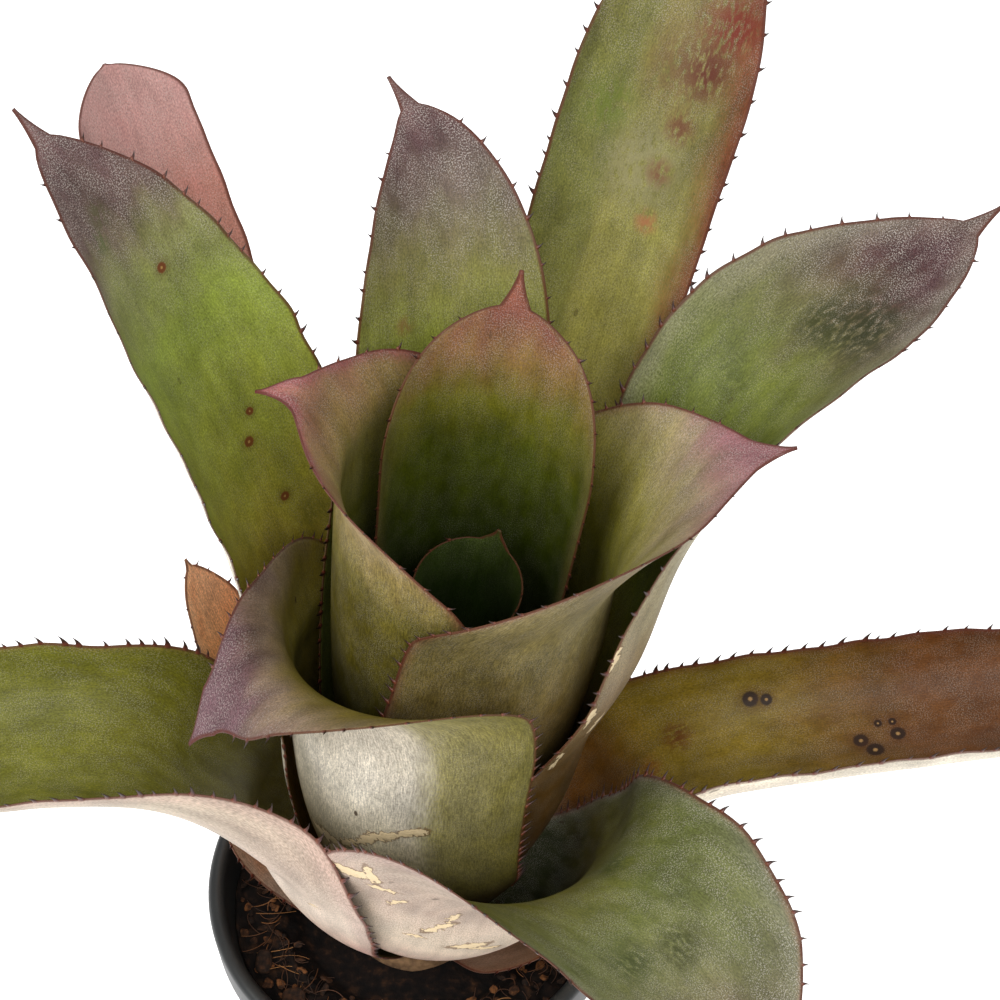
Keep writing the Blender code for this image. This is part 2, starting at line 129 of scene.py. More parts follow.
LEAVES = (
    Leaf(
        "leaf_01_heart", 0, 60, 188, ((17.5, 202),),
        ((0, 40), (0.5, 80), (1, 110)), fold=18, taper=25, mucro=6,
    ),
    Leaf(
        "leaf_02_cup_back", 1, 82, 255, ((36, 270), (41, 287)),
        ((0, 40), (0.3, 70), (0.7, 84), (1, 90)), fold=36, taper=42, blend=0.1,
    ),
    Leaf(
        "leaf_03_cup_left", 2, 172, 240, ((49, 252), (57, 263), (68, 261)),
        ((0, 40), (0.3, 100), (0.6, 140), (1, 145)), fold=50, taper=52, blend=0.1, point=1.1,
    ),
    Leaf(
        "leaf_04_cup_right", 3, 0, 222, ((54, 243), (69, 257), (87, 265)),
        ((0, 40), (0.3, 110), (0.6, 134), (0.8, 130), (1, 110)), fold=55, taper=60, blend=0.15,
        point=1.1, base_turn=-25, shift=((0, 0), (0.3, -0.3), (0.8, -0.3), (1, 0)),
    ),
    Leaf(
        "leaf_05_back", 4, 103, 215, ((55, 246), (70, 275), (90, 294, 2), (110, 302, 6)),
        ((0, 40), (0.3, 100), (0.6, 88), (0.75, 63), (1, 60)), fold=42, taper=70,
    ),
    Leaf(
        "leaf_06_right", 5, 28, 150, ((58, 180), (69, 221), (95, 249), (137, 271.5), (172, 292.5)),
        ((0, 60), (0.3, 108), (0.5, 94), (0.65, 78), (0.8, 76), (1, 76)), fold=38, taper=80, blend=0.35,
        shift=((0, 0), (0.2, -0.2), (0.36, -0.4), (0.55, -0.5), (0.7, -0.15), (0.85, 0)),
    ),
    Leaf(
        "leaf_07_front_lip", 6, 215, 172, ((63, 187), (76, 196), (87, 192), (97, 179)),
        ((0, 60), (0.1, 110), (0.3, 145), (0.7, 148), (0.82, 138), (1, 130)),
        fold=70, taper=52, blend=0.15, point=1.6, shift=((0, 0), (0.6, 0), (0.85, -0.15), (1, -0.15)),
        slant=((0, 0), (0.5, 0.1), (0.8, 0.55), (1, 0.5)),
    ),
    Leaf(
        "leaf_08_left", 7, 155, 125,
        ((64, 150), (75, 178), (86, 204), (106, 245), (127, 284), (155, 309)),
        ((0, 60), (0.1, 100), (0.35, 94), (0.6, 78), (0.85, 74), (1, 72)), fold=38, taper=90,
        shift=((0, 0), (0.3, -0.2), (0.6, -0.1), (0.8, 0)),
    ),
    Leaf(
        "leaf_09_tall_back", 8, 66, 140,
        ((76, 200), (94, 250), (115, 295), (140, 340), (158, 370)),
        ((0, 50), (0.1, 70), (0.3, 68), (0.5, 59), (1, 60)), fold=42, taper=70,
    ),
    Leaf(
        "leaf_10_front_right", 9, 310, 92,
        ((72, 112), (93, 124), (120, 127), (148, 116), (166, 99)),
        ((0, 60), (0.1, 120), (0.3, 150), (0.45, 140), (0.65, 92), (1, 80)), fold=55, taper=70,
        shift=((0, 0), (0.3, -0.15), (0.5, -0.2), (0.7, 0)),
        slant=((0, 0), (0.2, -0.2), (0.4, -0.3), (0.6, -0.35), (0.8, 0)),
    ),
    Leaf(
        "leaf_11_low_left", 10, 189, 74,
        ((78, 92), (96, 105), (120, 111), (150, 111), (190, 107), (235, 98)),
        ((0, 60), (0.1, 90), (0.25, 112), (0.4, 108), (0.55, 82), (1, 84)), fold=31, taper=80, base_turn=4,
        shift=((0, 0), (0.1, 0), (0.25, 0.15), (0.4, 0.25), (0.5, 0.05), (0.6, 0)),
        slant=((0, 0), (0.1, 0.2), (0.25, 0.3), (0.4, 0.2), (0.6, 0)),
    ),
    Leaf(
        "leaf_12_low_right", 11, 5, 50,
        ((74, 78), (92, 93), (120, 102), (160, 111), (220, 124), (265, 131)),
        ((0, 60), (0.1, 96), (0.25, 88), (0.45, 74), (1, 72)), fold=25, taper=80,
    ),
    Leaf(
        "leaf_13_pink_cut", 12, 137, 95, ((80, 130), (131, 232), (142, 250), (152, 266), (166, 290)),
        ((0, 44), (0.3, 46), (0.6, 46), (1, 44)), fold=36, taper=18, mucro=1, base_turn=-8,
    ),
    Leaf(
        "leaf_14_dead", 13, 155, 60, ((80, 95), (90, 120), (99, 144)),
        ((0, 50), (0.3, 60), (0.6, 34), (1, 26)), fold=30, taper=30, mucro=4,
    ),
)


# ---------------------------------------------------------------- the leaves' surfaces


def smooth_values(pairs, at):
    """Values at `at` on a smooth curve through (place, value) pairs that never overshoots them."""
    places = np.array([pair[0] for pair in pairs], float)
    values = np.array([pair[1] for pair in pairs], float)
    at = np.clip(np.asarray(at, float), places[0], places[-1])
    if len(places) == 1:
        return np.full_like(at, values[0])
    steps = np.diff(places)
    slopes = np.diff(values) / steps
    tangents = np.concatenate([slopes[:1], np.zeros(len(places) - 2), slopes[-1:]])
    for i in range(1, len(places) - 1):
        if slopes[i - 1] * slopes[i] > 0:
            before = 2 * steps[i] + steps[i - 1]
            after = steps[i] + 2 * steps[i - 1]
            tangents[i] = (before + after) / (before / slopes[i - 1] + after / slopes[i])
    i = np.clip(np.searchsorted(places, at) - 1, 0, len(places) - 2)
    f = (at - places[i]) / steps[i]
    held = values[i] * (1 + 2 * f) * (1 - f) ** 2 + values[i + 1] * f * f * (3 - 2 * f)
    turned = tangents[i] * f * (1 - f) ** 2 + tangents[i + 1] * f * f * (f - 1)
    return held + turned * steps[i]


def smooth_path(points, per_span=16):
    """A centripetal Catmull-Rom curve through the points, as a dense polyline."""
    points = np.array(points, float)
    points = np.vstack([2 * points[0] - points[1], points, 2 * points[-1] - points[-2]])
    dense = []
    for a, b, c, d in zip(points, points[1:], points[2:], points[3:]):
        knots = np.cumsum([0] + [math.sqrt(np.linalg.norm(q - p)) for p, q in ((a, b), (b, c), (c, d))])
        for t in np.linspace(knots[1], knots[2], per_span, endpoint=False):
            ab = a + (b - a) * (t - knots[0]) / (knots[1] - knots[0])
            bc = b + (c - b) * (t - knots[1]) / (knots[2] - knots[1])
            cd = c + (d - c) * (t - knots[2]) / (knots[3] - knots[2])
            abc = ab + (bc - ab) * (t - knots[0]) / (knots[2] - knots[0])
            bcd = bc + (cd - bc) * (t - knots[1]) / (knots[3] - knots[1])
            dense.append(abc + (bcd - abc) * (t - knots[1]) / (knots[2] - knots[1]))
    return np.array(dense + [points[-2]])


def base_of(rank):
    """Where a leaf of this rank grows from the stump, as (out, up)."""
    return STUMP_TOP_RADIUS + BASE_OUT_STEP * rank, STUMP_TOP_HEIGHT - BASE_DOWN_STEP * rank


def sheath_radius(rank, up):
    """Radius of this rank's tube at a height: it swells from the stump to its shoulder."""
    out, foot = base_of(rank)
    shoulder = np.interp(rank, *zip(*SHOULDERS))
    swell = SWELL_HEIGHT + SWELL_HEIGHT_STEP * (OUTER_RANK - rank)
    return out + (shoulder - out) * (1 - math.exp(-max(up - foot, 0) / swell))


def midrib_points(leaf):
    """Control points of the midrib in the plant's frame: up the sheath, then along the blade."""
    out, foot = base_of(leaf.rank)
    polar = [(out, foot, leaf.base_turn)]
    heights = [foot + rise for rise in SHEATH_RISES]
    for up in [h for h in heights if h < leaf.sheath_top - SHEATH_RISES[0]] + [leaf.sheath_top]:
        share = (up - foot) / (leaf.sheath_top - foot)
        polar.append((sheath_radius(leaf.rank, up), up, leaf.base_turn * (1 - share)))
    polar += [(*point, 0)[:3] for point in leaf.reach]
    turned = [(out, up, math.radians(leaf.heading + turn)) for out, up, turn in polar]
    return [(out * math.cos(a), out * math.sin(a), up) for out, up, a in turned]


def row_places(length, leaf):
    """Distances from the base of the cross-sections, closer together towards the tip."""
    narrowing = leaf.taper + leaf.mucro
    body = np.linspace(0, length - narrowing, BODY_ROWS)
    taper = np.linspace(length - narrowing, length - leaf.mucro, TAPER_ROWS + 1)
    point = np.linspace(length - leaf.mucro, length, MUCRO_ROWS + 1)
    return np.concatenate([body, taper[1:], point[1:]])


def unit(vectors):
    """The vectors, each made one long."""
    return vectors / np.maximum(np.linalg.norm(vectors, axis=-1, keepdims=True), 1e-12)


def ripple(places, seed, wavelengths, height):
    """A gentle random wave along a margin, the same each time for one seed."""
    pick = random.Random(seed)
    wave = sum(np.sin(2 * math.pi * places / length + pick.uniform(0, 6.3)) for length in wavelengths)
    return wave * height / len(wavelengths)


def leaf_surface(leaf):
    """The leaf's middle surface: rows of points with the unit normals of its inner side.

    A sheath's rows are level arcs round the stem's axis, so that the layers nest. A blade's rows
    stand square to its midrib, as the arc of its channel.
    """
    path = smooth_path(midrib_points(leaf))
    along = np.concatenate([[0], np.cumsum(np.linalg.norm(np.diff(path, axis=0), axis=1))])
    length = along[-1]
    places = row_places(length, leaf)
    share = places / length
    ribs = np.stack([np.interp(places, along, path[:, k]) for k in range(3)], axis=1)
    steps = np.gradient(path, axis=0)
    forward = unit(np.stack([np.interp(places, along, steps[:, k]) for k in range(3)], axis=1))
    out = np.hypot(ribs[:, 0], ribs[:, 1])

    leaves_sheath = along[np.argmax(path[:, 2] >= leaf.sheath_top - 1)] / length
    opened = min(leaves_sheath + leaf.blend, 0.98)
    blade = smooth_values(((0, 0), (leaves_sheath * 0.95, 0), (opened, 1), (1, 1)), share)[:, None]

    normal = unit(forward * blade + np.array([0, 0, 1.0]) * (1 - blade))
    sideways = np.stack([-ribs[:, 1], ribs[:, 0], 0 * out], axis=1)
    sideways = unit(sideways - np.sum(sideways * normal, axis=1, keepdims=True) * normal)
    inward = np.cross(normal, sideways)

    to_tip = length - places
    narrow = np.clip((to_tip - leaf.mucro) / leaf.taper, 0, 1)
    point = MUCRO_SHARE * np.minimum(1, to_tip / leaf.mucro) ** 1.5
    width = smooth_values(leaf.width, share)
    width = width * (point + (1 - MUCRO_SHARE) * np.sin(math.pi / 2 * narrow) ** leaf.point) + TIP_WIDTH
    width = np.minimum(width, WIDEST_WRAP * out)

    columns = np.linspace(-1, 1, 2 * HALF_COLUMNS + 1)
    across = (columns[None, :] + smooth_values(leaf.shift, share)[:, None]) * width[:, None] / 2
    bend = (1 - blade) / out[:, None] + blade / leaf.fold
    aside = np.sin(bend * across) / bend
    lift = (1 - np.cos(bend * across)) / bend
    rise = aside * smooth_values(leaf.slant, share)[:, None]
    free = blade[:, 0] * np.minimum(1, width / WAVE_WIDTH)
    waves = np.stack([ripple(places, f"{leaf.name}{side}", WAVE_LENGTHS, WAVE_HEIGHT) for side in (0, 1)])
    lift = lift + np.where(columns < 0, waves[0][:, None], waves[1][:, None]) * free[:, None] * columns**4
    rows = ribs[:, None, :] + sideways[:, None, :] * aside[..., None]
    rows = rows + inward[:, None, :] * lift[..., None] + normal[:, None, :] * rise[..., None]

    facing = unit(np.cross(np.gradient(rows, axis=0), np.gradient(rows, axis=1)))
    if np.sum(facing * inward[:, None, :]) < 0:
        facing = -facing
    return {
        "rows": rows,
        "facing": facing,
        "share": share,
        "places": places,
        "columns": columns,
        "width": width,
        "length": length,
    }


def plant_frame():
    """Places the plant's own frame, in metres, in the pot's."""
    foot = Matrix.Translation(Vector(PLANT_FOOT) * MM)
    return foot @ Matrix.Rotation(math.radians(PLANT_LEAN), 4, "Y")


def in_plant(points):
    """Points in the plant's frame, in millimetres, moved to the pot's frame, in metres."""
    matrix = np.array(plant_frame())
    return points * MM @ matrix[:3, :3].T + matrix[:3, 3]


# ---------------------------------------------------------------- meshes


def add_object(name, mesh, material=None):
    """A new object in the scene, at the origin."""
    thing = bpy.data.objects.new(name, mesh)
    bpy.context.scene.collection.objects.link(thing)
    if material:
        mesh.materials.append(material)
    return thing


def finish_piece(thing, slot, *nodes):
    """Lets a finished piece ride on the plant's one body and stand for its CAD nodes."""
    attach(thing, "root")
    if nodes:
        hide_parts(*nodes)
    return thing


def write_points(mesh, name, values):
    """An attribute with one number or vector for each vertex."""
    kind = "FLOAT_VECTOR" if np.ndim(values) == 2 else "FLOAT"
    layer = mesh.attributes.new(name, kind, "POINT")
    layer.data.foreach_set("vector" if kind == "FLOAT_VECTOR" else "value", np.ravel(values))


def write_uv(mesh, name, pairs):
    """A UV map, in metres, from one pair for each vertex."""
    layer = mesh.uv_layers.new(name=name)
    corners = np.zeros(len(mesh.loops), np.int32)
    mesh.loops.foreach_get("vertex_index", corners)
    layer.data.foreach_set("uv", np.ravel(pairs[corners]))


def end_build(build, name, closed=True):
    """The mesh that a bmesh has built, with its faces turned outward if it is closed."""
    if closed:
        bmesh.ops.recalc_face_normals(build, faces=build.faces)
    mesh = bpy.data.meshes.new(name)
    build.to_mesh(mesh)
    build.free()
    return mesh


def level_ring(build, radius, up, steps):
    """A level ring of vertices round the pot's axis."""
    angles = [2 * math.pi * i / steps for i in range(steps)]
    places = [(radius * MM * math.cos(a), radius * MM * math.sin(a), up * MM) for a in angles]
    return [build.verts.new(place) for place in places]


def leaf_mesh(leaf, surface):
    """A closed skin round the middle surface, thickest at the midrib, with rounded margins."""
    rows, facing, columns = surface["rows"], surface["facing"], surface["columns"]
    count = len(columns)
    slim = np.minimum(1, surface["width"] / (4 * MIDDLE_THICKNESS))[:, None]
    middle = MARGIN_THICKNESS + (MIDDLE_THICKNESS - MARGIN_THICKNESS) * (1 - columns[None, :] ** 2)
    half = (middle * (THIN_SHARE + (1 - THIN_SHARE) * slim) / 2)[..., None]
    inner = rows + facing * half
    outer = rows - facing * half
    outward = unit(rows[:, [0, -1]] - rows[:, [1, -2]])
    margins = rows[:, [0, -1]] + outward * MARGIN_THICKNESS * MARGIN_BULGE

    rings = np.concatenate([inner, margins[:, 1:], outer[:, ::-1], margins[:, :1]], axis=1)
    size = rings.shape[1]
    faces = []
    for i in range(len(rings) - 1):
        for j in range(size):
            k = (j + 1) % size
            faces.append((i * size + j, (i + 1) * size + j, (i + 1) * size + k, i * size + k))
    for i, forwards in ((0, False), (len(rings) - 1, True)):
        start = i * size
        far = start + 2 * count
        ends = [(start + j, start + j + 1, far - 1 - j, far - j) for j in range(count - 1)]
        ends += [(start + count - 1, start + count, start + count + 1)]
        ends += [(start, far, far + 1)]
        faces += [tuple(reversed(face)) if forwards else face for face in ends]

    rough = bpy.data.meshes.new("unturned")
    rough.from_pydata(in_plant(rings.reshape(-1, 3)).tolist(), [], faces)
    build = bmesh.new()
    build.from_mesh(rough)
    bpy.data.meshes.remove(rough)
    mesh = end_build(build, leaf.name)
    mesh.shade_smooth()

    around = np.concatenate([columns, [1], columns[::-1], [-1]])
    side = np.tile(np.concatenate([np.zeros(count), [0.5], np.ones(count), [0.5]]), len(rings))
    write_points(mesh, "share", np.repeat(surface["share"], size))
    write_points(mesh, "across", np.tile(around, len(rings)))
    write_points(mesh, "edge_mm", np.outer(surface["width"] / 2, 1 - np.abs(around)).ravel())
    write_points(mesh, "side", side)
    aside = np.outer(surface["width"] / 2, around).ravel() * MM + side * UV_SIDE_OFFSET
    write_uv(mesh, "leaf", np.stack([aside, np.repeat(surface["places"], size) * MM], axis=1))
    return mesh


def lathe(name, profile, steps=LATHE_STEPS):
    """A closed solid of revolution from its profile, which runs axis to axis down its outer side."""
    build = bmesh.new()
    top = build.verts.new((0, 0, profile[0][1] * MM))
    bottom = build.verts.new((0, 0, profile[-1][1] * MM))
    rings = [level_ring(build, out, up, steps) for out, up in profile[1:-1]]
    for i in range(steps):
        k = (i + 1) % steps
        build.faces.new((top, rings[0][i], rings[0][k]))
        for above, below in zip(rings, rings[1:]):
            build.faces.new((above[i], below[i], below[k], above[k]))
        build.faces.new((rings[-1][k], rings[-1][i], bottom))
    mesh = end_build(build, name)
    mesh.shade_smooth()
    return mesh


def plain_copy(thing, name, material=None):
    """The thing as its modifiers leave it, as a plain mesh at the origin. The thing is removed."""
    bpy.context.view_layer.update()
    graph = bpy.context.evaluated_depsgraph_get()
    evaluated = thing.evaluated_get(graph)
    mesh = bpy.data.meshes.new_from_object(evaluated, preserve_all_data_layers=True, depsgraph=graph)
    mesh.transform(thing.matrix_world)
    mesh.name = name
    bpy.data.objects.remove(thing, do_unlink=True)
    if material and not mesh.materials:
        mesh.materials.append(material)
    return add_object(name, mesh)


# ---------------------------------------------------------------- node trees


def colour(text):
    """An sRGB hex value as the linear colour that a socket holds."""
    parts = [int(text[i : i + 2], 16) / 255 for i in (1, 3, 5)]
    linear = [c / 12.92 if c <= 0.04045 else ((c + 0.055) / 1.055) ** 2.4 for c in parts]
    return (*linear, 1)


def add(tree, kind, inputs=None, stops=None, out=0, **settings):
    """Adds a node with its settings. Returns its output `out`, or the node itself if that is None.

    A kind without "Node" in it is a shader node's. An input is a value, a hex colour or the socket
    that feeds it. A stop is a place on the ramp with a hex colour or a lightness.
    """
    node = tree.nodes.new(kind if "Node" in kind else f"ShaderNode{kind}")
    for key, value in settings.items():
        setattr(node, key, value)
    for key, value in (inputs or {}).items():
        if isinstance(value, bpy.types.NodeSocket):
            tree.links.new(value, node.inputs[key])
        elif isinstance(value, str) and value.startswith("#"):
            node.inputs[key].default_value = colour(value)
        else:
            node.inputs[key].default_value = value
    if stops:
        elements = node.color_ramp.elements
        while len(elements) < len(stops):
            elements.new(0.5)
        for element, (place, value) in zip(elements, sorted(stops)):
            element.position = place
            element.color = colour(value) if isinstance(value, str) else (value, value, value, 1)
    return node if out is None else node.outputs[out]


def new_material(name):
    """A material with nothing in its tree, and that tree."""
    material = bpy.data.materials.new(name)
    material.use_nodes = True
    material.node_tree.nodes.clear()
    return material, material.node_tree


def close_material(tree, inputs, height, depth):
    """Ends a tree in one principled shader, with a bump `depth` millimetres deep from the height."""
    bump = add(tree, "Bump", {"Height": height, "Distance": depth * MM, "Strength": 1.0})
    shader = add(tree, "BsdfPrincipled", {**inputs, "Normal": bump})
    add(tree, "OutputMaterial", {"Surface": shader}, out=None)


def solid_grain(tree, size, detail):
    """Noise through a solid piece, from the size of its grains in millimetres."""
    place = add(tree, "TexCoord", out="Object")
    return add(tree, "TexNoise", {"Vector": place, "Scale": 1 / (size * MM), "Detail": detail})


def leaf_grain(tree, uv, wide, long, detail, seed):
    """Noise stretched along a leaf, from the size of its grains in millimetres."""
    scale = (1 / (wide * MM), 1 / (long * MM), 1)
    start = (seed, seed, seed)
    place = add(tree, "VectorMath", {0: uv, 1: scale, 2: start}, operation="MULTIPLY_ADD")
    return add(tree, "TexNoise", {"Vector": place, "Scale": 1.0, "Detail": detail})


def shown(tree, reading, start, end, strength=1.0, masks=()):
    """How much of a finish shows: none where a reading is at `start`, and `strength` of it at `end`.

    It changes smoothly between them, and each mask scales it.
    """
    limits = {"Value": reading, "From Min": start, "From Max": end, "To Max": strength}
    amount = add(tree, "MapRange", limits, interpolation_type="SMOOTHSTEP")
    for mask in masks:
        amount = add(tree, "Math", {0: amount, 1: mask}, operation="MULTIPLY")
    return amount


def stained(tree, skin, shade, *reach):
    """The skin with a shade laid over it as far as `shown` says."""
    amount = shown(tree, *reach)
    return add(tree, "Mix", {0: amount, 6: skin, 7: shade}, out=2, data_type="RGBA")


def varied(tree, skin, pattern, low, high, share=1.0):
    """The skin darkened and lightened by a pattern, between two (reading, lightness) pairs."""
    shade = add(tree, "ValToRGB", {0: pattern}, stops=(low, high))
    inputs = {0: share, 6: skin, 7: shade}
    return add(tree, "Mix", inputs, out=2, data_type="RGBA", blend_type="MULTIPLY")


def new_tree(name, *inputs):
    """A geometry node tree with its named inputs, and their sockets inside it by name."""
    tree = bpy.data.node_groups.new(name, "GeometryNodeTree")
    tree.interface.new_socket(name="Geometry", in_out="OUTPUT", socket_type="NodeSocketGeometry")
    for word, kind, value in (("Geometry", "Geometry", None), ("Material", "Material", None), *inputs):
        socket = tree.interface.new_socket(name=word, in_out="INPUT", socket_type=f"NodeSocket{kind}")
        if value is not None:
            socket.default_value = value
    return tree, tree.nodes.new("NodeGroupInput").outputs


def end_tree(tree, geometry, material):
    """Ends a tree in its one material."""
    finished = add(tree, "GeometryNodeSetMaterial", {"Geometry": geometry, "Material": material})
    add(tree, "NodeGroupOutput", {0: finished}, out=None)
    return tree


def run_tree(thing, tree, values):
    """Puts the tree on the thing as a modifier, with its named inputs set by their identifiers."""
    modifier = thing.modifiers.new(tree.name, "NODES")
    modifier.node_group = tree
    names = {item.name: item.identifier for item in tree.interface.items_tree if item.in_out == "INPUT"}
    for name, value in values.items():
        modifier[names[name]] = value


# ---------------------------------------------------------------- how each leaf looks

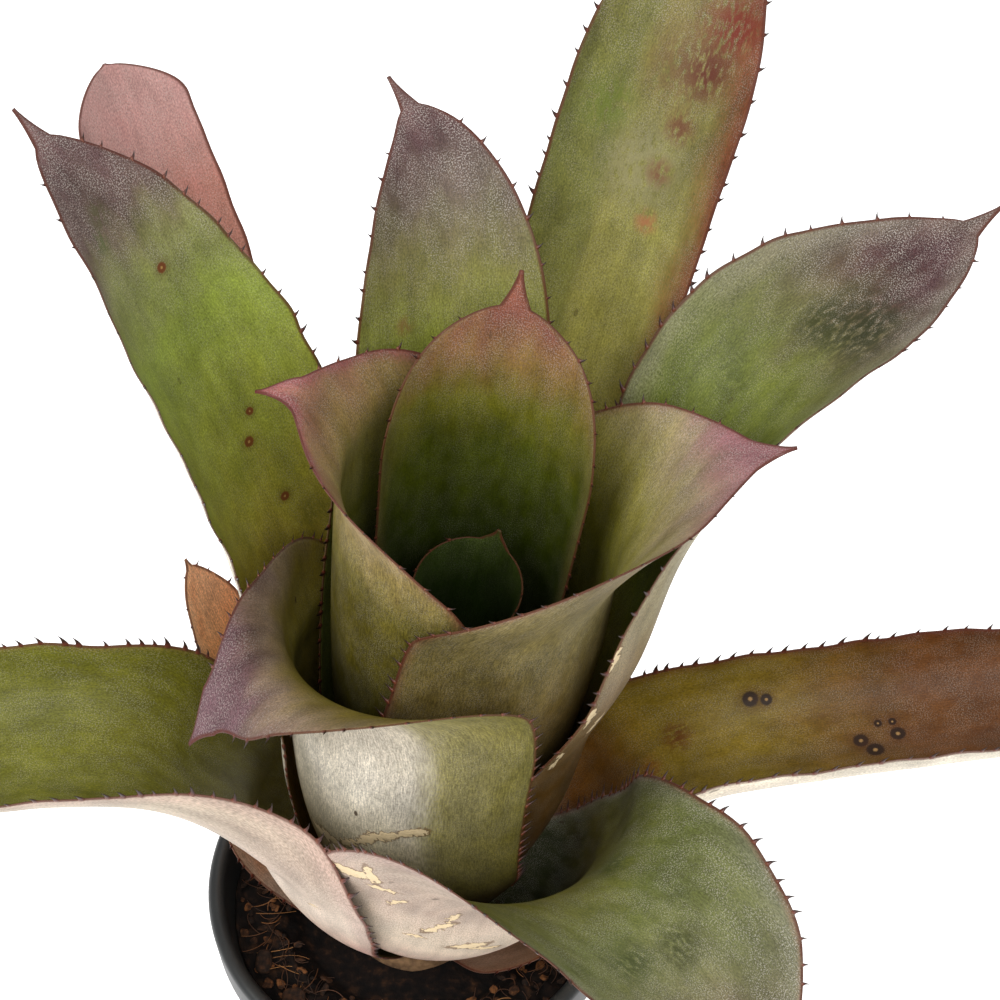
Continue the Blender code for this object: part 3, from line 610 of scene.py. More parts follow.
# `inner` and `outer` run from the leaf's base, 0, to its tip, 1. A wash lays a colour over one side
# (0 inner, 1 outer, None both) where an attribute goes from its first value to its second. Scars
# are (across mm, along mm, reach along the scar, reach across it, turn, side), spots (across mm,
# along mm, radius mm) and smudges (across mm, along mm, radius mm, colour, strength). `lines` is
# how strongly the veins show on the inner and the outer side. Every other number is a strength
# from 0 to 1, apart from `roughness`, which is the shader's own.
# What a leaf's own look leaves out is in the usual one.
USUAL_LOOK = {
    "scurf": 0.35,
    "tip_scurf": 0.3,
    "blush": 0.35,
    "specks": 0.3,
    "lines": (0.35, 0.35),
    "spines": 1.0,
    "roughness": 0.46,
    "washes": (),
    "smudges": (),
    "spots": (),
    "scars": (),
}
LOOKS = {
    "leaf_01_heart": {
        # Both sides are darker than the heart leaf's own green: partly its real deep green, partly painted
        # shade deep in the tank.
        "inner": ((0, "#10140a"), (0.6, "#182208"), (0.85, "#22300b"), (1, "#3c481a")),
        "outer": ((0, "#2a3212"), (0.6, "#3c4519"), (1, "#4a5a24")),
        "scurf": 0.05,
        "tip_scurf": 0.1,
        "blush": 0.0,
    },
    "leaf_02_cup_back": {
        # The dark lower stops of the inner side are partly the cup's real dark green and partly painted
        # shade deep in the cup.
        "inner": (
            (0, "#0d1202"), (0.45, "#1a2104"), (0.6, "#2d3706"), (0.74, "#484f0e"), (0.83, "#6f6c20"),
            (0.9, "#7c5a2c"), (0.95, "#78422c"), (1, "#98583f"),
        ),
        "outer": ((0, "#6f6a3c"), (0.6, "#7b8048"), (1, "#8c6a52")),
        "washes": (
            ("across", -0.78, -1.0, "#7a6c40", 0.5, 0), ("across", 0.78, 1.0, "#7a6c40", 0.5, 0),
        ),
        "tip_scurf": 0.4,
        "scurf": 0.2,
    },
    "leaf_03_cup_left": {
        # The dark lower stops of the inner side are partly the cup's real dark green and partly painted
        # shade deep in the cup.
        "inner": (
            (0, "#1d2209"), (0.5, "#353d10"), (0.7, "#6a6a24"), (0.82, "#8a803c"), (0.92, "#966e4e"),
            (1, "#96564a"),
        ),
        "outer": (
            (0, "#342e0a"), (0.5, "#46400e"), (0.65, "#544c14"), (0.76, "#675e24"), (0.83, "#8a7846"),
            (0.88, "#b09a6c"), (0.94, "#a06e60"), (1, "#864c50"),
        ),
        "washes": (("edge_mm", 9, 0, "#8a464e", 0.7, 0), ("edge_mm", 5, 0, "#7c463f", 0.5, 1)),
        "lines": (0.35, 0.85),
    },
    "leaf_04_cup_right": {
        # The dark lower stops of the inner side are partly the cup's real dark green and partly painted
        # shade deep in the cup.
        "inner": (
            (0, "#2a2906"), (0.5, "#504b12"), (0.7, "#77721f"), (0.8, "#8c8442"), (0.88, "#908060"),
            (0.94, "#8a645e"), (1, "#7f4a50"),
        ),
        "outer": (
            (0, "#3a3010"), (0.4, "#5c4a1c"), (0.55, "#71592a"), (0.7, "#75683c"), (0.78, "#85784e"),
            (0.86, "#9a8a68"), (0.94, "#8a6660"), (1, "#6f4448"),
        ),
        "washes": (
            ("share", 0.86, 0.96, "#87565c", 0.7, None), ("across", 0.3, -0.7, "#5c5024", 0.5, 1),
            ("edge_mm", 4, 0, "#6f4038", 0.45, None),
        ),
        "scars": ((14, 150, 5, 0.9, 70, 1), (17, 141, 4, 0.8, 95, 1)),
        "lines": (0.35, 0.9),
    },
    "leaf_05_back": {
        "inner": (
            (0, "#5f6128"), (0.5, "#757c2e"), (0.72, "#7f8536"), (0.8, "#74703e"), (0.87, "#5c4f40"),
            (0.93, "#4e3634"), (1, "#70524c"),
        ),
        "outer": ((0, "#8a8758"), (0.6, "#a09a76"), (1, "#9c8078")),
        "smudges": ((14, 231, 4, "#7a5030", 0.6), (-16, 215, 6, "#4c5020", 0.5)),
        "tip_scurf": 0.9,
    },
    "leaf_06_right": {
        "inner": (
            (0, "#8a5a20"), (0.35, "#8a7228"), (0.5, "#6c7426"), (0.62, "#646f26"), (0.74, "#63692c"),
            (0.82, "#625a3c"), (0.88, "#462e28"), (0.93, "#32191a"), (1, "#4a2e30"),
        ),
        "outer": (
            (0, "#3c2408"), (0.3, "#54370f"), (0.38, "#60431c"), (0.46, "#735a38"), (0.52, "#857252"),
            (0.58, "#958a6a"), (0.68, "#b0a890"), (0.85, "#c4b8ac"), (1, "#8c706c"),
        ),
        "washes": (("edge_mm", 12, 0, "#8f8a72", 0.5, 0), ("share", 0.87, 0.95, "#4a2828", 0.6, 0)),
        "scars": (
            (-44, 182, 5, 1.9, 80, 1), (-52, 170, 5, 1.6, 65, 1), (-46, 160, 6, 1.6, 95, 1),
            (-38, 152, 5, 1.8, 75, 1), (-56, 152, 5, 1.4, 60, 1), (-46, 140, 6, 1.5, 100, 1),
        ),
        "smudges": (
            (-9, 277, 20, "#23280f", 0.85), (4, 268, 12, "#2c3214", 0.7), (10, 238, 10, "#3c451a", 0.5),
            (-2, 222, 7, "#4a3a1c", 0.5),
        ),
        "tip_scurf": 1.0,
    },
    "leaf_07_front_lip": {
        "inner": (
            (0, "#3a3008"), (0.5, "#6a5c18"), (0.68, "#7d7226"), (0.77, "#8a7a2c"), (0.84, "#967f68"),
            (0.9, "#54393a"), (1, "#3a2226"),
        ),
        "outer": (
            (0, "#4a3010"), (0.3, "#a8906a"), (0.42, "#dccfbc"), (0.56, "#d8cfbf"), (0.64, "#c2b8a6"),
            (0.75, "#b4a894"), (0.86, "#8f7570"), (0.93, "#6b4c4a"), (1, "#573a3c"),
        ),
        "washes": (
            ("across", 0.44, 0.68, "#857d4a", 0.95, 1), ("across", 0.7, 1.0, "#746c24", 0.6, 1),
            ("share", 0.62, 0.4, "#8a8034", 0.35, 1), ("across", -0.45, -0.9, "#9a8a5c", 0.7, 1),
            ("share", 0.84, 0.95, "#65484e", 0.7, None), ("share", 0.36, 0.24, "#54380f", 0.7, 1),
        ),
        "scars": (
            (0, 78, 7, 3.0, 20, 1), (8, 82, 8, 3.2, 0, 1), (16, 91, 8, 2.2, 50, 1),
            (23, 100, 7, 2.2, 60, 1), (30, 107, 7, 2.4, 40, 1), (38, 113, 7, 2.2, 30, 1),
            (6, 73, 7, 2.2, 80, 1), (19, 80, 5, 1.2, 20, 1), (-22, 104, 4, 0.8, 100, 1),
            (-30, 118, 5, 0.7, 95, 1), (-27, 98, 4, 0.8, 80, 1),
        ),
        "specks": 0.9,
        "lines": (0.35, 0.8),
    },
    "leaf_08_left": {
        "inner": (
            (0, "#8a5c1c"), (0.3, "#a07c2a"), (0.46, "#a09034"), (0.6, "#929638"), (0.74, "#86943c"),
            (0.82, "#84864e"), (0.88, "#5e4b42"), (0.94, "#523b38"), (1, "#7a5c58"),
        ),
        "outer": ((0, "#8a7c55"), (0.3, "#d8d0bc"), (0.7, "#ddd6c8"), (0.9, "#b8a49c"), (1, "#a08580")),
        "tip_scurf": 1.0,
        "spots": ((-7, 197, 1.3), (-12, 206, 1.0), (-9, 265, 1.2), (-10, 171, 1.2), (4, 151, 1.0)),
        "spot": "#6f3c20",
        "spot_heart": "#b08a50",
        "smudges": (
            (-16, 160, 8, "#6f6a24", 0.6), (3, 291, 6, "#4f5030", 0.7), (8, 285, 5, "#4c5a2c", 0.6),
        ),
    },
    "leaf_09_tall_back": {
        "inner": (
            (0, "#8a7a30"), (0.5, "#a89c4c"), (0.6, "#a0984c"), (0.67, "#8f8848"), (0.75, "#70683a"),
            (0.84, "#6b5a30"), (1, "#665628"),
        ),
        "outer": ((0, "#8a8058"), (0.5, "#b5ab8d"), (1, "#a89a80")),
        "washes": (
            ("across", 0.2, 0.45, "#4f5a24", 0.6, 0), ("across", 0.95, 0.6, "#7d7c3c", 0.4, 0),
            ("across", -0.45, -1.0, "#6f3426", 0.85, 0),
        ),
        "smudges": (
            (0, 285, 18, "#8a8462", 0.6), (-4, 318, 17, "#6a4c30", 0.6), (-15, 334, 15, "#6c241c", 0.9),
            (-11, 318, 11, "#541c16", 0.85), (-8, 300, 7, "#5e2c20", 0.8), (-7, 269, 5, "#9a6040", 0.8),
            (-6, 285, 6, "#6a3a26", 0.75), (16, 300, 12, "#5c6a22", 0.6), (2, 345, 10, "#5a5424", 0.5),
        ),
        "specks": 0.5,
    },
    "leaf_10_front_right": {
        # The almost black first stops of the inner side are painted shadow that falls in the tank at the
        # leaf's base.
        "inner": (
            (0, "#0c0501"), (0.2, "#120a03"), (0.27, "#4a380e"), (0.34, "#8a7824"), (0.42, "#98902f"),
            (0.52, "#72712c"), (0.63, "#6e743c"), (0.74, "#75754c"), (0.82, "#6c6248"), (1, "#5e483a"),
        ),
        "outer": (
            (0, "#a8886c"), (0.2, "#c9b6a2"), (0.3, "#bfae9a"), (0.4, "#ad9888"), (0.5, "#a89484"),
            (1, "#a89c86"),
        ),
        "washes": (
            ("across", 0.1, 0.4, "#4c5428", 0.45, 0), ("edge_mm", 3, 0, "#7c3f24", 0.7, 0),
            ("edge_mm", 10, 0, "#83836e", 0.4, 0), ("share", 0.28, 0.12, "#b48a80", 0.55, 1),
            ("edge_mm", 8, 0, "#a88480", 0.35, 1),
        ),
        "scars": (
            (-61, 98, 8, 2.6, 30, 1), (-56, 103, 6, 2.2, -40, 1), (-50, 98, 6, 1.4, 20, 1),
            (-27, 80, 8, 1.8, 50, 1), (-15, 66, 8, 2.4, 10, 1), (-24, 90, 6, 1.5, 80, 1),
            (-43, 92, 5, 1.2, 65, 1), (-9, 62, 7, 2.0, -15, 1), (-34, 70, 4, 1.0, 0, 1),
        ),
        "smudges": (
            (-14, 150, 11, "#35401a", 0.7), (2, 158, 10, "#2f3516", 0.7), (16, 148, 6, "#38401c", 0.5),
            (-22, 176, 8, "#3c4420", 0.5), (24, 120, 7, "#33401a", 0.6),
        ),
        "scurf": 0.75,
        "tip_scurf": 0.6,
        "specks": 0.6,
        "lines": (0.4, 0.08),
    },
    "leaf_11_low_left": {
        "inner": ((0, "#4a3c0c"), (0.2, "#5e5412"), (0.4, "#5e5a12"), (0.6, "#66661e"), (1, "#6c6c2c")),
        "outer": (
            (0, "#a88e78"), (0.25, "#c2b2a2"), (0.38, "#aa9686"), (0.5, "#b4a692"), (1, "#c0b6a4"),
        ),
        "washes": (
            ("edge_mm", 3.5, 0, "#7c6c34", 0.5, 0), ("share", 0.26, 0.08, "#b8877c", 0.6, 1),
            ("edge_mm", 10, 0, "#b08a84", 0.35, 1),
        ),
        "scars": ((36, 74, 3, 0.8, 20, 1), (20, 62, 4, 0.7, -30, 1)),
        "smudges": (
            (8, 190, 7, "#5c4a1c", 0.6), (-14, 210, 6, "#4c4818", 0.5), (12, 236, 5, "#54401c", 0.6),
        ),
        "specks": 0.4,
        "lines": (0.4, 0.08),
    },
    "leaf_12_low_right": {
        "inner": (
            (0, "#c4ae9a"), (0.12, "#b09a80"), (0.18, "#6a5016"), (0.33, "#846e20"), (0.45, "#78641a"),
            (0.55, "#6f521c"), (0.65, "#643e1a"), (0.8, "#60381a"), (1, "#643f20"),
        ),
        "outer": ((0, "#c8b69c"), (0.4, "#d8ccb8"), (1, "#d8d0c0")),
        "washes": (("edge_mm", 5, 0, "#5c2418", 0.45, 0), ("share", 0.36, 0.26, "#8c4c1a", 0.5, 0)),
        "spots": (
            (20, 134, 2.0), (19, 139.5, 1.5), (-1, 169, 1.9), (-6, 173, 2.2), (0, 182, 1.9),
            (5, 181, 1.0), (5, 176, 1.0), (-20, 150, 0.9),
        ),
        "smudges": (
            (13, 108, 7, "#5c2c10", 0.8), (5, 95, 6, "#7a3c14", 0.7), (10, 160, 8, "#5a3a14", 0.5),
        ),
        "specks": 0.6,
    },
    "leaf_13_pink_cut": {
        "inner": (
            (0, "#8a6040"), (0.5, "#966350"), (0.85, "#a26e60"), (0.95, "#b68b84"), (1, "#b28982"),
        ),
        "outer": ((0, "#b08a68"), (0.5, "#c49a8a"), (1, "#c9a59a")),
        "scurf": 0.3,
        "mottle": "#8f5a52",
        "lines": (0.15, 0.15),
        "spines": 0.0,
        "roughness": 0.6,
    },
    "leaf_14_dead": {
        "inner": ((0, "#b8a08c"), (0.35, "#c0a084"), (0.6, "#d89858"), (1, "#f0c090")),
        "outer": ((0, "#b8a08c"), (0.35, "#c0a084"), (0.6, "#dba76e"), (1, "#efd0a8")),
        "scurf": 0.1,
        "mottle": "#b06c34",
        "lines": (0.7, 0.7),
        "spines": 0.9,
        "roughness": 0.7,
    },
}


# ---------------------------------------------------------------- the skin of a leaf

SCURF_COLOUR = "#cbc6ba"
BLUSH_COLOUR = "#9a8088"
MARGIN_COLOUR = "#54281c"
CORK_COLOUR = "#d8c29c"
CORK_RIM_COLOUR = "#6a4f33"
SPECK_COLOUR = "#3d2a18"

# Each pattern's grain: mm across the leaf, mm along it, detail and seed. Veins and scurf are
# finer than this on a real leaf, and are drawn coarser so that they show.
PATTERNS = {
    "drift": (9, 26, 3, 31),
    "pores": (0.45, 0.8, 2, 5),
    "blotches": (9, 17, 5, 0),
    "streaks": (2.6, 70, 3, 7),
    "veins": (0.55, 3.2, 2, 13),
    "scales": (0.36, 0.46, 2, 17),
    "patches": (6, 10, 3, 23),
    "scuffs": (1.6, 3.6, 5, 29),
    "crumbs": (1.3, 1.3, 4, 41),
    "push_across": (2.6, 2.6, 2, 43),
    "push_along": (2.6, 2.6, 2, 47),
}
# How dark and how light each pattern makes the skin, as (reading, lightness) pairs.
BLOTCH_SHADES = ((0.32, 0.76), (0.68, 1.16))
STREAK_SHADES = ((0.3, 0.82), (0.7, 1.16))
VEIN_SHADES = ((0.36, 0.62), (0.62, 1.18))
PORE_SHADES = ((0.3, 0.62), (0.7, 1.36))
STREAK_STRENGTH = 0.5
MOTTLE_STRENGTH = 0.5
PORE_STRENGTH = 0.85
# Where a finish starts to show and where it shows in full, in a pattern's readings or in shares
# of the leaf's length.
MOTTLE_SHOWS = (0.45, 0.75)
SCALES_SHOW = (0.5, 0.62)
SCURF_PATCHES_SHOW = (0.3, 0.62)
BLUSH_SCALES_SHOW = (0.4, 0.6)
TIP_SCURF_PLACE = (0.74, 0.92)
BLUSH_PLACE = (0.8, 0.93)
SPECKS_CHOSEN = (0.55, 1.0)
SCUFFS_SHOW = (0.34, 0.56)
CORK_RIM_SHOWS = (0.02, 0.1)
CORK_SHOWS = (0.16, 0.22)
SCURF_FULL = 0.5  # the thickest that scurf lies all over
TIP_SCURF_FULL = 0.42
# Each ring of a spot: its colour, where it starts and is full in the spot's radii, and its strength.
SPOT_RINGS = (
    ("spot_halo", "#4a2614", 4.0, 1.2, 0.35),
    ("spot", "#2a1c14", 1.9, 1.4, 0.95),
    ("spot_heart", "#a98452", 0.75, 0.45, 0.9),
)
SPOT_UNEVENNESS = 0.5  # in the spot's radii
SMUDGE_FADE = (1.15, 0.1)  # in the smudge's radii
SCAR_FADE = (1.3, 0.1)  # in the scar's reaches
DRIFT = 0.09  # how far a band of colour wanders along the leaf, as a share of its length
WASH_DRIFT = 0.8  # how ragged a wash's edge is, as a share of its width
SPECK_CELL = (7.0, 15.0)  # mm across and along the leaf that hold one speck
SPECK_SIZE = 0.16  # of the largest, in cells
SPECK_EDGE = 0.05
MARGIN_FADE = (1.3, 0.3)  # mm from the edge
MARGIN_STRENGTH = 0.85
MARGIN_BREAKS = (0.2, 0.5)
CORK_RIM_STRENGTH = 0.75
CORK_RELIEF = 3.0  # against the veins'
VEIN_RELIEF = 0.5
SCURF_MATTS = (0.0, 0.4, 0.2)  # from none to this much scurf, the roughness grows by the last
SKIN_SHINE = 0.18
SCAR_WARP = 6.0  # mm that a scar's outline is pushed about
SKIN_RELIEF = 0.16  # mm


def leaf_ground(tree, look, read, pattern, place):
    """The leaf's own colours from base to tip on each side, under its washes, darkened by painted shade
    deep in the cup.
    """
    inner = add(tree, "ValToRGB", {0: place}, stops=look["inner"])
    outer = add(tree, "ValToRGB", {0: place}, stops=look["outer"])
    skin = add(tree, "Mix", {0: read["side"], 6: inner, 7: outer}, out=2, data_type="RGBA")
    ragged = add(tree, "Math", {0: pattern["drift"], 1: pattern["pores"]}, operation="ADD")
    for word, start, end, shade, strength, side in look["washes"]:
        span = (end - start) * WASH_DRIFT
        reading = add(tree, "Math", {0: ragged, 1: span, 2: read[word]}, operation="MULTIPLY_ADD")
        masks = () if side is None else (read["sides"][side],)
        skin = stained(tree, skin, shade, reading, start + span, end + span, strength, masks)
    return skin


def leaf_texture(tree, look, read, pattern, skin):
    """Light and dark over the ground colours: blotches, streaks, veins and pores."""
    if "mottle" in look:
        skin = stained(tree, skin, look["mottle"], pattern["blotches"], *MOTTLE_SHOWS, MOTTLE_STRENGTH)
    skin = varied(tree, skin, pattern["blotches"], *BLOTCH_SHADES)
    skin = varied(tree, skin, pattern["streaks"], *STREAK_SHADES, STREAK_STRENGTH)
    for strength, on_side in zip(look["lines"], read["sides"]):
        share = add(tree, "Math", {0: on_side, 1: strength}, operation="MULTIPLY")
        skin = varied(tree, skin, pattern["veins"], *VEIN_SHADES, share)
    return varied(tree, skin, pattern["pores"], *PORE_SHADES, PORE_STRENGTH)


def leaf_scurf(tree, look, pattern, place):
    """How thickly the silver-grey scales lie: thinly all over, and more near the tip."""
    near_tip = shown(tree, place, *TIP_SCURF_PLACE, look["tip_scurf"] * TIP_SCURF_FULL)
    all_over = look["scurf"] * SCURF_FULL
    thickness = add(tree, "Math", {0: near_tip, 1: all_over}, operation="ADD")
    patchy = shown(tree, pattern["patches"], *SCURF_PATCHES_SHOW)
    return shown(tree, pattern["scales"], *SCALES_SHOW, 1.0, (thickness, patchy))


def leaf_marks(tree, look, uv, pattern, skin):
    """Insect specks in their cells, then the smudges and ringed spots, each in its own place."""
    scale = (1 / (SPECK_CELL[0] * MM), 1 / (SPECK_CELL[1] * MM), 1)
    cells = add(tree, "VectorMath", {0: uv, 1: scale}, operation="MULTIPLY")
    cell = add(tree, "TexVoronoi", {"Vector": cells, "Scale": 1.0}, out=None).outputs
    chosen = add(tree, "SeparateColor", {0: cell["Color"]})
    size = shown(tree, chosen, *SPECKS_CHOSEN, SPECK_SIZE)
    depth = add(tree, "Math", {0: size, 1: cell["Distance"]}, operation="SUBTRACT")
    skin = stained(tree, skin, SPECK_COLOUR, depth, 0.0, SPECK_EDGE, look["specks"])

    scuffed = shown(tree, pattern["scuffs"], *SCUFFS_SHOW)
    for across, along, radius, shade, strength in look["smudges"]:
        centre = (across * MM, along * MM, 0)
        away = add(tree, "VectorMath", {0: uv, 1: centre}, out="Value", operation="DISTANCE")
        radius *= MM
        start, end = SMUDGE_FADE
        skin = stained(tree, skin, shade, away, radius * start, radius * end, strength, (scuffed,))
    for across, along, radius in look["spots"]:
        centre = (across * MM, along * MM, 0)
        away = add(tree, "VectorMath", {0: uv, 1: centre}, out="Value", operation="DISTANCE")
        radius *= MM
        uneven = {0: pattern["scales"], 1: radius * SPOT_UNEVENNESS, 2: away}
        away = add(tree, "Math", uneven, operation="MULTIPLY_ADD")
        for word, shade, start, end, strength in SPOT_RINGS:
            shade = look.get(word, shade)
            skin = stained(tree, skin, shade, away, radius * start, radius * end, strength)
    return skin


def leaf_scars(tree, look, uv, pattern):
    """Height of the cork that has grown over old tears, from 0 where there is none."""
    push = {0: pattern["push_across"], 1: pattern["push_along"]}
    push = add(tree, "CombineXYZ", push)
    scale = (SCAR_WARP * MM, SCAR_WARP * MM, 0)
    warped = add(tree, "VectorMath", {0: push, 1: scale, 2: uv}, operation="MULTIPLY_ADD")
    back = (SCAR_WARP * MM / 2, SCAR_WARP * MM / 2, 0)
    warped = add(tree, "VectorMath", {0: warped, 1: back}, operation="SUBTRACT")
    cork = 0.0
    for across, along, long, wide, turn, side in look["scars"]:
        frame_of_scar = {
            "Vector": warped,
            "Location": (across * MM + side * UV_SIDE_OFFSET, along * MM, 0),
            "Rotation": (0, 0, math.radians(turn)),
            "Scale": (long * MM, wide * MM, 1),
        }
        local = add(tree, "Mapping", frame_of_scar, vector_type="TEXTURE")
        away = add(tree, "VectorMath", {0: local}, out="Value", operation="LENGTH")
        mound = shown(tree, away, *SCAR_FADE)
        cork = add(tree, "Math", {0: cork, 1: mound}, operation="MAXIMUM")
    return add(tree, "Math", {0: cork, 1: pattern["crumbs"]}, operation="MULTIPLY")


def leaf_material(name, look):
    """Living leaf: a waxy cuticle under silver-grey scurf, with fine veins along it.

    The wax gives a soft broad sheen, and the scurf turns it matt and greyer towards the tip. The
    cut leaf and the dead one have the same skin, faded and mottled.
    """
    material, tree = new_material(f"bromeliad_leaf_{name[5:]}")
    first_seed = float(name[5:7])
    uv = add(tree, "UVMap", uv_map="leaf")
    pattern = {}
    for word, (wide, long, detail, seed) in PATTERNS.items():
        pattern[word] = leaf_grain(tree, uv, wide, long, detail, first_seed + seed)
    read = {}
    for word in ("share", "across", "edge_mm", "side"):
        read[word] = add(tree, "Attribute", out="Fac", attribute_name=word)
    on_inner = add(tree, "Math", {0: 1.0, 1: read["side"]}, operation="SUBTRACT")
    read["sides"] = (on_inner, read["side"])
    drifted = {0: pattern["drift"], 1: DRIFT, 2: read["share"]}
    place = add(tree, "Math", drifted, operation="MULTIPLY_ADD")
    place = add(tree, "Math", {0: place, 1: DRIFT / 2}, operation="SUBTRACT")

    skin = leaf_ground(tree, look, read, pattern, place)
    skin = leaf_texture(tree, look, read, pattern, skin)
    scurf = leaf_scurf(tree, look, pattern, place)
    skin = add(tree, "Mix", {0: scurf, 6: skin, 7: SCURF_COLOUR}, out=2, data_type="RGBA")
    masks = (shown(tree, pattern["scales"], *BLUSH_SCALES_SHOW), pattern["blotches"])
    skin = stained(tree, skin, BLUSH_COLOUR, place, *BLUSH_PLACE, look["blush"], masks)
    skin = leaf_marks(tree, look, uv, pattern, skin)
    masks = (shown(tree, pattern["streaks"], *MARGIN_BREAKS),)
    skin = stained(tree, skin, MARGIN_COLOUR, read["edge_mm"], *MARGIN_FADE, MARGIN_STRENGTH, masks)
    cork = leaf_scars(tree, look, uv, pattern)
    skin = stained(tree, skin, CORK_RIM_COLOUR, cork, *CORK_RIM_SHOWS, CORK_RIM_STRENGTH)
    skin = stained(tree, skin, CORK_COLOUR, cork, *CORK_SHOWS)

    relief = add(tree, "Math", {0: pattern["veins"], 1: scurf}, operation="ADD")
    relief = add(tree, "Math", {0: relief, 1: VEIN_RELIEF}, operation="MULTIPLY")
    relief = add(tree, "Math", {0: cork, 1: CORK_RELIEF, 2: relief}, operation="MULTIPLY_ADD")
    matt = shown(tree, scurf, *SCURF_MATTS)
    rough = add(tree, "Math", {0: matt, 1: look["roughness"]}, operation="ADD")
    finish = {"Base Color": skin, "Roughness": rough, "Specular IOR Level": SKIN_SHINE}
    close_material(tree, finish, relief, SKIN_RELIEF)
    return material


# ---------------------------------------------------------------- spines

SPINE_LENGTH = 3.5  # mm, of the largest
SPINE_SIDES = 6
SPINE_STEPS = 5
SPINE_HOOK = 0.7  # how far the point leans towards the tip of the leaf, in lengths
SPINE_CURL = 1.8  # over 1 bends the point more than the foot
SPINE_FOOT = 0.34  # radius at the base, in lengths
SPINE_POINT = 0.02
SPINE_FLATNESS = 0.5
SPINE_SINK = 0.12
SPINE_SIZES = ((0.06, 0.6), (0.25, 1.0), (0.5, 1.05), (0.7, 0.8), (0.9, 0.65), (1, 0.5))
SPINE_GAPS = ((0.06, 4.2), (0.3, 5.0), (0.6, 6.4), (1, 8.5))  # mm between neighbours
SPINE_START = 0.1
SPINE_SEED = 11


def spine_points(leaf, surface, strength):
    """Where the spines stand on both margins: their places, ways out, ways forward and sizes."""
    pick = random.Random(f"{leaf.name}{SPINE_SEED}")
    rows, places = surface["rows"], surface["places"]
    found = []
    for edge, beside in ((0, 1), (-1, -2)):
        margin = rows[:, edge]
        along = np.concatenate([[0], np.cumsum(np.linalg.norm(np.diff(margin, axis=0), axis=1))])
        outward = unit(margin - rows[:, beside])
        forward = unit(np.gradient(margin, axis=0))
        last = np.interp(surface["length"] - leaf.mucro * 1.3, places, along)
        at = np.interp(SPINE_START * surface["length"], places, along)
        while at < last:
            share = np.interp(at, along, surface["share"])
            size = smooth_values(SPINE_SIZES, [share])[0] * pick.uniform(0.7, 1.15) * strength
            readings = np.concatenate([margin, outward, forward], axis=1).T
            found.append((*(np.interp(at, along, reading) for reading in readings), size))
            at += smooth_values(SPINE_GAPS, [share])[0] * pick.uniform(0.65, 1.45)
    return np.array(found)


def spine_tree():
    """Geometry nodes that grow one hooked spine on each point of a mesh."""
    tree, given = new_tree(
        "spines",
        ("Length", "Float", SPINE_LENGTH * MM),
        ("Hook", "Float", SPINE_HOOK),
        ("Foot", "Float", SPINE_FOOT),
    )
    cone = {"Vertices": SPINE_SIDES, "Side Segments": SPINE_STEPS, "Depth": 1.0}
    cone |= {"Radius Top": SPINE_POINT, "Radius Bottom": given["Foot"]}
    cone = add(tree, "GeometryNodeMeshCone", cone)
    place = add(tree, "GeometryNodeInputPosition")
    parts = add(tree, "SeparateXYZ", {0: place}, out=None).outputs
    lean = add(tree, "Math", {0: parts["Z"], 1: SPINE_CURL}, operation="POWER")
    lean = add(tree, "Math", {0: lean, 1: given["Hook"], 2: parts["X"]}, operation="MULTIPLY_ADD")
    thin = add(tree, "Math", {0: parts["Y"], 1: SPINE_FLATNESS}, operation="MULTIPLY")
    sunk = add(tree, "Math", {0: parts["Z"], 1: SPINE_SINK}, operation="SUBTRACT")
    bent = add(tree, "CombineXYZ", {0: lean, 1: thin, 2: sunk})
    rise = {"Geometry": cone, "Name": "rise", "Value": parts["Z"]}
    marked = add(tree, "GeometryNodeStoreNamedAttribute", rise, data_type="FLOAT")
    shaped = add(tree, "GeometryNodeSetPosition", {"Geometry": marked, "Position": bent})
    smooth = add(tree, "GeometryNodeSetShadeSmooth", {0: shaped})

    read = {}
    for word, kind in (("outward", "FLOAT_VECTOR"), ("forward", "FLOAT_VECTOR"), ("size", "FLOAT")):
        read[word] = add(tree, "GeometryNodeInputNamedAttribute", {"Name": word}, data_type=kind)
    facing = add(tree, "FunctionNodeAlignRotationToVector", {"Vector": read["outward"]}, axis="Z")
    turn = {"Rotation": facing, "Vector": read["forward"]}
    facing = add(tree, "FunctionNodeAlignRotationToVector", turn, axis="X", pivot_axis="Z")
    long = add(tree, "Math", {0: read["size"], 1: given["Length"]}, operation="MULTIPLY")
    size = add(tree, "CombineXYZ", {0: long, 1: long, 2: long})
    planting = {"Points": given["Geometry"], "Instance": smooth, "Rotation": facing, "Scale": size}
    planted = add(tree, "GeometryNodeInstanceOnPoints", planting)
    real = add(tree, "GeometryNodeRealizeInstances", {0: planted})
    return end_tree(tree, real, given["Material"])


def make_spines(leaf, surface, strength, tree, material):
    """The spines of one leaf, as one piece that stands on its margins."""
    found = spine_points(leaf, surface, strength)
    mesh = bpy.data.meshes.new(f"{leaf.name}_spines")
    mesh.from_pydata(in_plant(found[:, :3]).tolist(), [], [])
    turn = np.array(plant_frame())[:3, :3]
    write_points(mesh, "outward", found[:, 3:6] @ turn.T)
    write_points(mesh, "forward", found[:, 6:9] @ turn.T)
    write_points(mesh, "size", found[:, 9])
    thing = add_object(f"{leaf.name}_points", mesh)
    run_tree(thing, tree, {"Material": material})
    finish_piece(plain_copy(thing, f"{leaf.name}_spines"), "leaf_green")


def horn_material():
    """Spine: hard horny tissue, reddish where it leaves the margin and almost black at the point."""
    material, tree = new_material("horny_spine")
    rise = add(tree, "Attribute", out="Fac", attribute_name="rise")
    stops = ((0.0, "#7a4630"), (0.2, "#5c2a1c"), (0.5, "#32170f"), (1.0, "#170c08"))
    shade = add(tree, "ValToRGB", {0: rise}, stops=stops)
    close_material(tree, {"Base Color": shade, "Roughness": 0.42, "Specular IOR Level": 0.5}, rise, 0.02)
    return material


